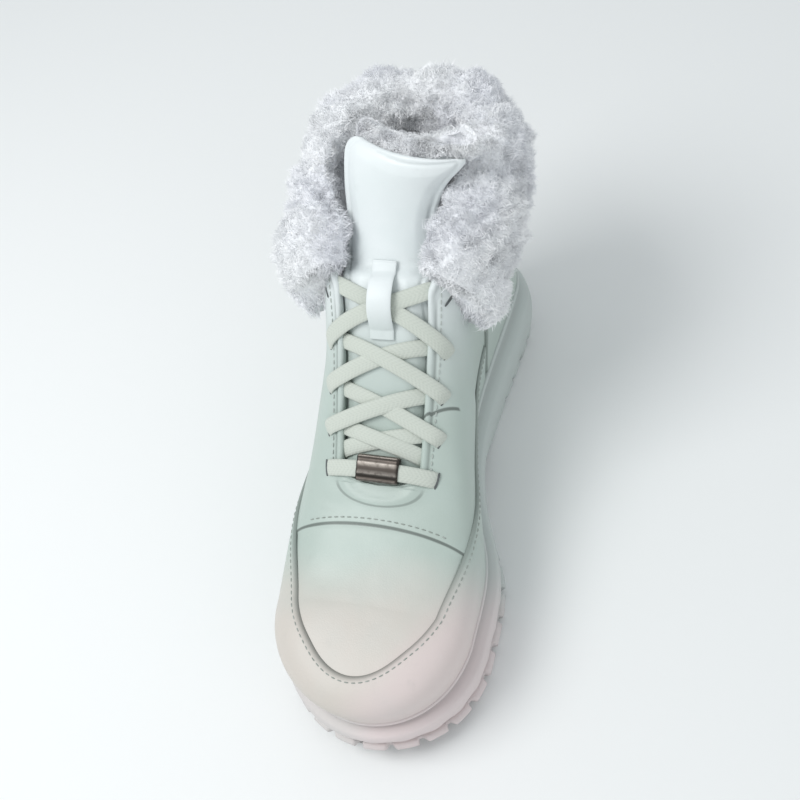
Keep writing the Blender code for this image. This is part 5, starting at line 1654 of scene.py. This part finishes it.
end = float(position_at(THROAT_TOP - 0.020))
lining_u = np.linspace(-end, end, 110)
leather_line = skin(np.mod(lining_u, 2), np.linspace(0.05, 0.985, 30)[:, None])
leather_normal = normals_of(leather_line)
inside = leather_line - leather_normal * (WALL + 0.0003)
thick = 0.0022 + 0.0008 * cloud(leather_line, 420, 3.0)
fleece = leather_line - leather_normal * (WALL + thick)[..., None]
closed_slab("fleece_lining", fleece, inside, FUR, slot="shearling")
around = np.abs(np.linspace(-1, 1, FUR_COLUMNS))[:, None]
cover = np.ones(ROLL.shape[:2])
cover[:, FUR_SOFT:] = np.clip((around - 0.66) / 0.06, 0, 1) * 0.9
wool("fur_wool", ROLL_SHOWN, roll_normal, 69000, 0.0040, "fur_cuff", weight=cover, pieces=3)
for words, row, beside in (("lateral", 0, 4), ("medial", -1, -5)):
    ring = ROLL_SHOWN[row]
    out = unit((ring - ROLL_SHOWN[beside]).mean(0))
    cap = between(ring, ring.mean(0), 0, 0.95)
    wool(f"flap_wool_{words}", cap, out + 0 * cap, 2500, 0.0045, "fur_cuff")
wool("tongue_wool", TONGUE_FUR_BACK, -fur_normal, 7000, 0.0045, "tongue_fur")
wool("tongue_front_wool", FUR_FRONT[-17:], fur_normal[-17:], 5000, 0.0036, "tongue_fur")
tip = between(FUR_FRONT[-1], TONGUE_FUR_BACK[-1], 0, 1)
wool("tongue_tip_wool", tip, FUR_FACE[-1] - FUR_FACE[-3] + 0 * tip, 5000, 0.0042, "tongue_fur")
for words, at, beside in (("lateral", 0, 3), ("medial", -1, -4)):
    rim = between(FUR_FRONT[:, at], TONGUE_FUR_BACK[:, at], -0.2, 1)
    out = FUR_FACE[:, at] - FUR_FACE[:, beside] + 0 * rim
    wool(f"tongue_rim_wool_{words}", rim, out, 1500, 0.0038, "tongue_fur")
print("wool made")

# %% [markdown]
# Stitches are short rounded threads set end to end along a seam, sunk at both ends. A seam is a line
# at a fixed distance from a panel's edge, or a curve in plan laid on the leather.

# %% Stitches
STITCH_LENGTH, STITCH_GAP, STITCH_WIDTH = 0.0023, 0.0009, 0.00055
ON_PANEL = OVERLAY + 0.0002  # height of a panel's stitches over the leather


def stitches(name, line, normals, finish=THREAD):
    """A row of threads along a line of points, each a tube of six rings with six sides."""
    run = run_along(line)
    count = int(run[-1] / (STITCH_LENGTH + STITCH_GAP))
    begin = (np.arange(count) + 0.5) * run[-1] / count - STITCH_LENGTH / 2
    t = np.linspace(0, 1, 6)
    at = begin[:, None] + t * STITCH_LENGTH
    middle, up = read_line(at, run, line), unit(read_line(at, run, normals))
    side = unit(np.cross(np.gradient(middle, axis=1), up))
    fat = np.sqrt(np.clip(1 - (2 * t - 1) ** 4, 0.02, 1))[:, None, None]
    angle = circle(6)[:, None]
    ring = side[:, :, None] * np.cos(angle) + up[:, :, None] * np.sin(angle)
    sink = (np.sin(np.pi * t) * 0.6 - 0.35)[:, None] * up * STITCH_WIDTH / 2
    points = (middle + sink)[:, :, None] + ring * fat * STITCH_WIDTH / 2
    base = np.arange(count)[:, None, None] * 36
    tube, low, high = capped_tube(6, 6)
    faces = [(base + part).reshape(-1, part.shape[1]) for part in (tube, np.concatenate([low, high]))]
    add_piece(name, points, faces, finish, slot="leather", merge=0)


def inset_line(grid, normal, inset, lift):
    """A line on a panel at a distance under its top edge, with its normals."""
    rows, columns = grid.shape[:2]
    down = run_along(grid[::-1])
    row = [np.interp(inset, down[:, i], np.arange(rows)[::-1]) for i in range(columns)]
    row = np.clip(row, 0, rows - 1.001)
    column = np.clip(np.arange(columns, dtype=float), 0, columns - 1.001)
    line, up = read_grid(grid, row, column), read_grid(normal, row, column)
    return (line + up * lift)[3:-3], up[3:-3]


def plan_line(points, lift):
    """A line over the foot through points in plan, with its normals."""
    up = np.array([normal_over(x, y) for x, y in points])
    return np.array([over_foot(x, y) for x, y in points]) + up * lift, up


stitches("mudguard_stitches", *inset_line(GUARD, GUARD_NORMAL, STITCH_INSET - 0.0008, ON_PANEL))
stitches("counter_stitches", *inset_line(COUNTER, COUNTER_NORMAL, 0.0026, ON_PANEL))
stitches("counter_stitches_low", *inset_line(COUNTER, COUNTER_NORMAL, 0.0056, ON_PANEL))
centre = spine_x(CAP_SEAM)
cap = [(centre + x, cap_seam_y(x) + STITCH_INSET - 0.0012) for x in np.linspace(-0.0335, 0.0335, 60)]
stitches("cap_stitches", *plan_line(cap, 0.0001))
for side, words in ((-1, "lateral"), (1, "medial")):
    places = np.linspace(THROAT_BOTTOM + 0.008, THROAT_TOP - 0.026, 60)
    edge = [(spine_x(y) + side * (throat_half(y) + 0.0050), y) for y in places]
    stitches(f"throat_stitches_{words}", *plan_line(edge, 0.0002), finish=PALE_THREAD)
tab = inset_line(TAB, TAB_NORMAL, 0.012, TAB_THICKNESS + 0.0002)
stitches("tab_stitches", *tab, finish=PALE_THREAD)
print("stitches made")

# %% [markdown]
# The lace slits are flat rounded pills of painted shadow lying on the leather beside the opening, and the
# charm is a ribbed sleeve whose bands run along the lace.

# %% Slits and charm
RIB_DEPTH = 0.00045


def slit(name, place, up):
    """A flat pill of painted shadow lying on the leather, longer along y."""
    length, width, depth = LACE_WIDTH * 1.02, 0.0014, 0.00025
    along = unit(np.array([0.0, 1.0, 0.0]) - up * up[1])
    side = np.cross(along, up)
    angle = circle(32)
    rings = []
    for share, high in ((1.0, -0.3), (1.0, 0.5), (0.9, 0.9), (0.6, 1.0)):
        x = squared(np.cos(angle), 0.8) * width / 2 * share
        y = np.sin(angle) * length / 2 * (1 - (1 - share) * width / length)
        rings.append(place + side * x[:, None] + along * y[:, None] + up * depth * high)
    add_piece(name, np.concatenate(rings), capped_tube(4, 32), SLIT_SHADOW, slot="leather")


for i, pair in enumerate(eyelet_places()):
    for side, words, (x, y) in zip((-1, 1), ("lateral", "medial"), pair, strict=True):
        x -= side * 0.0004
        slit(f"slit_{i + 1}_{words}", over_foot(x, y), normal_over(x, y))
centre = np.mean([list(corner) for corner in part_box("lace_charm")], axis=0)
up = normal_over(centre[0], centre[1])
along = np.array([1.0, 0.0, 0.0])
across = np.cross(up, along)
t = circle(96)
wide, high = CHARM_WIDTH / 2, CHARM_THICKNESS / 2
a, b = squared(np.cos(t), 0.35) * wide, squared(np.sin(t), 0.45) * high
ribs = (0.5 + 0.5 * np.cos(a / wide * 3.0 * np.pi)) * (b > 0)
rings, dark = [], []
for s in np.linspace(-1, 1, 40):
    close = 1 - 0.10 * np.clip((abs(s) - 0.92) / 0.08, 0, 1) ** 2
    ring = across * (a * close)[:, None] + up * ((b - ribs * RIB_DEPTH) * close)[:, None]
    rings.append(centre + along * s * CHARM_LENGTH / 2 + ring)
    dark.append(np.sqrt(ribs) * 0.95 + 0.20 + (1 - close) * 6)
add_piece(
    "charm_sleeve", np.concatenate(rings), capped_tube(40, 96), METAL, slot="dull_metal",
    replaces=("lace_charm",), values={"dark": np.concatenate(dark)},
)
insole = bpy.data.objects[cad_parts["insole"].name]
insole.data.materials.clear()
insole.data.materials.append(FELT)
print("slits and charm made")

# %% [markdown]
# The stage: a pale floor, one large soft light over the boot and a weak one beside it. The camera
# looks down at the toe from the inner side, as in the photograph.

# %% Stage, lights and camera
def soft_light(name, place, size, power, colour=(1, 1, 1)):
    """A square lamp that looks at the boot."""
    light = bpy.data.lights.new(name, "AREA")
    light.shape, light.size, light.energy, light.color = "SQUARE", size, power, colour
    obj = put(name, light)
    obj.location = place
    obj.rotation_euler = (Vector((0, 0, 0.05)) - obj.location).to_track_quat("-Z", "Y").to_euler()


floor_finish = Finish("pale floor", (0.86, 0.87, 0.865), 0.75).material
mesh = bpy.data.meshes.new("floor")
mesh.from_pydata([(-3, -3, 0), (3, -3, 0), (3, 3, 0), (-3, 3, 0)], [], [(0, 1, 2, 3)])
mesh.materials.append(floor_finish)
floor = put("floor", mesh)
soft_light("key", (-0.45, -0.30, 0.95), 0.55, 5.9)
soft_light("fill", (0.9, -0.7, 0.6), 0.9, 1.2, (1.0, 0.97, 0.95))
world = bpy.data.worlds.new("room")
world.use_nodes = True
sky = world.node_tree.nodes["Background"]
sky.inputs["Color"].default_value = (0.88, 0.93, 0.96, 1)
sky.inputs["Strength"].default_value = 0.67
bpy.context.scene.world = world
bpy.context.scene.view_settings.view_transform = "Standard"

AZIMUTH, ELEVATION = math.radians(31.0), math.radians(59.0)  # where the camera stands
DISTANCE, TURN = 0.622, math.radians(-19.5)  # from the boot, and about its own axis
AIM = Vector((0.0, 0.008, 0.075))
level = math.cos(ELEVATION)
back = Vector((math.sin(AZIMUTH) * level, -math.cos(AZIMUTH) * level, math.sin(ELEVATION)))
camera = put("camera", bpy.data.cameras.new("camera"))
camera.location = back * DISTANCE
look = (AIM - camera.location).to_track_quat("-Z", "Y")
camera.rotation_mode = "QUATERNION"
camera.rotation_quaternion = look @ Quaternion((0, 0, 1), TURN)
camera.data.lens = 52.5
bpy.context.scene.camera = camera
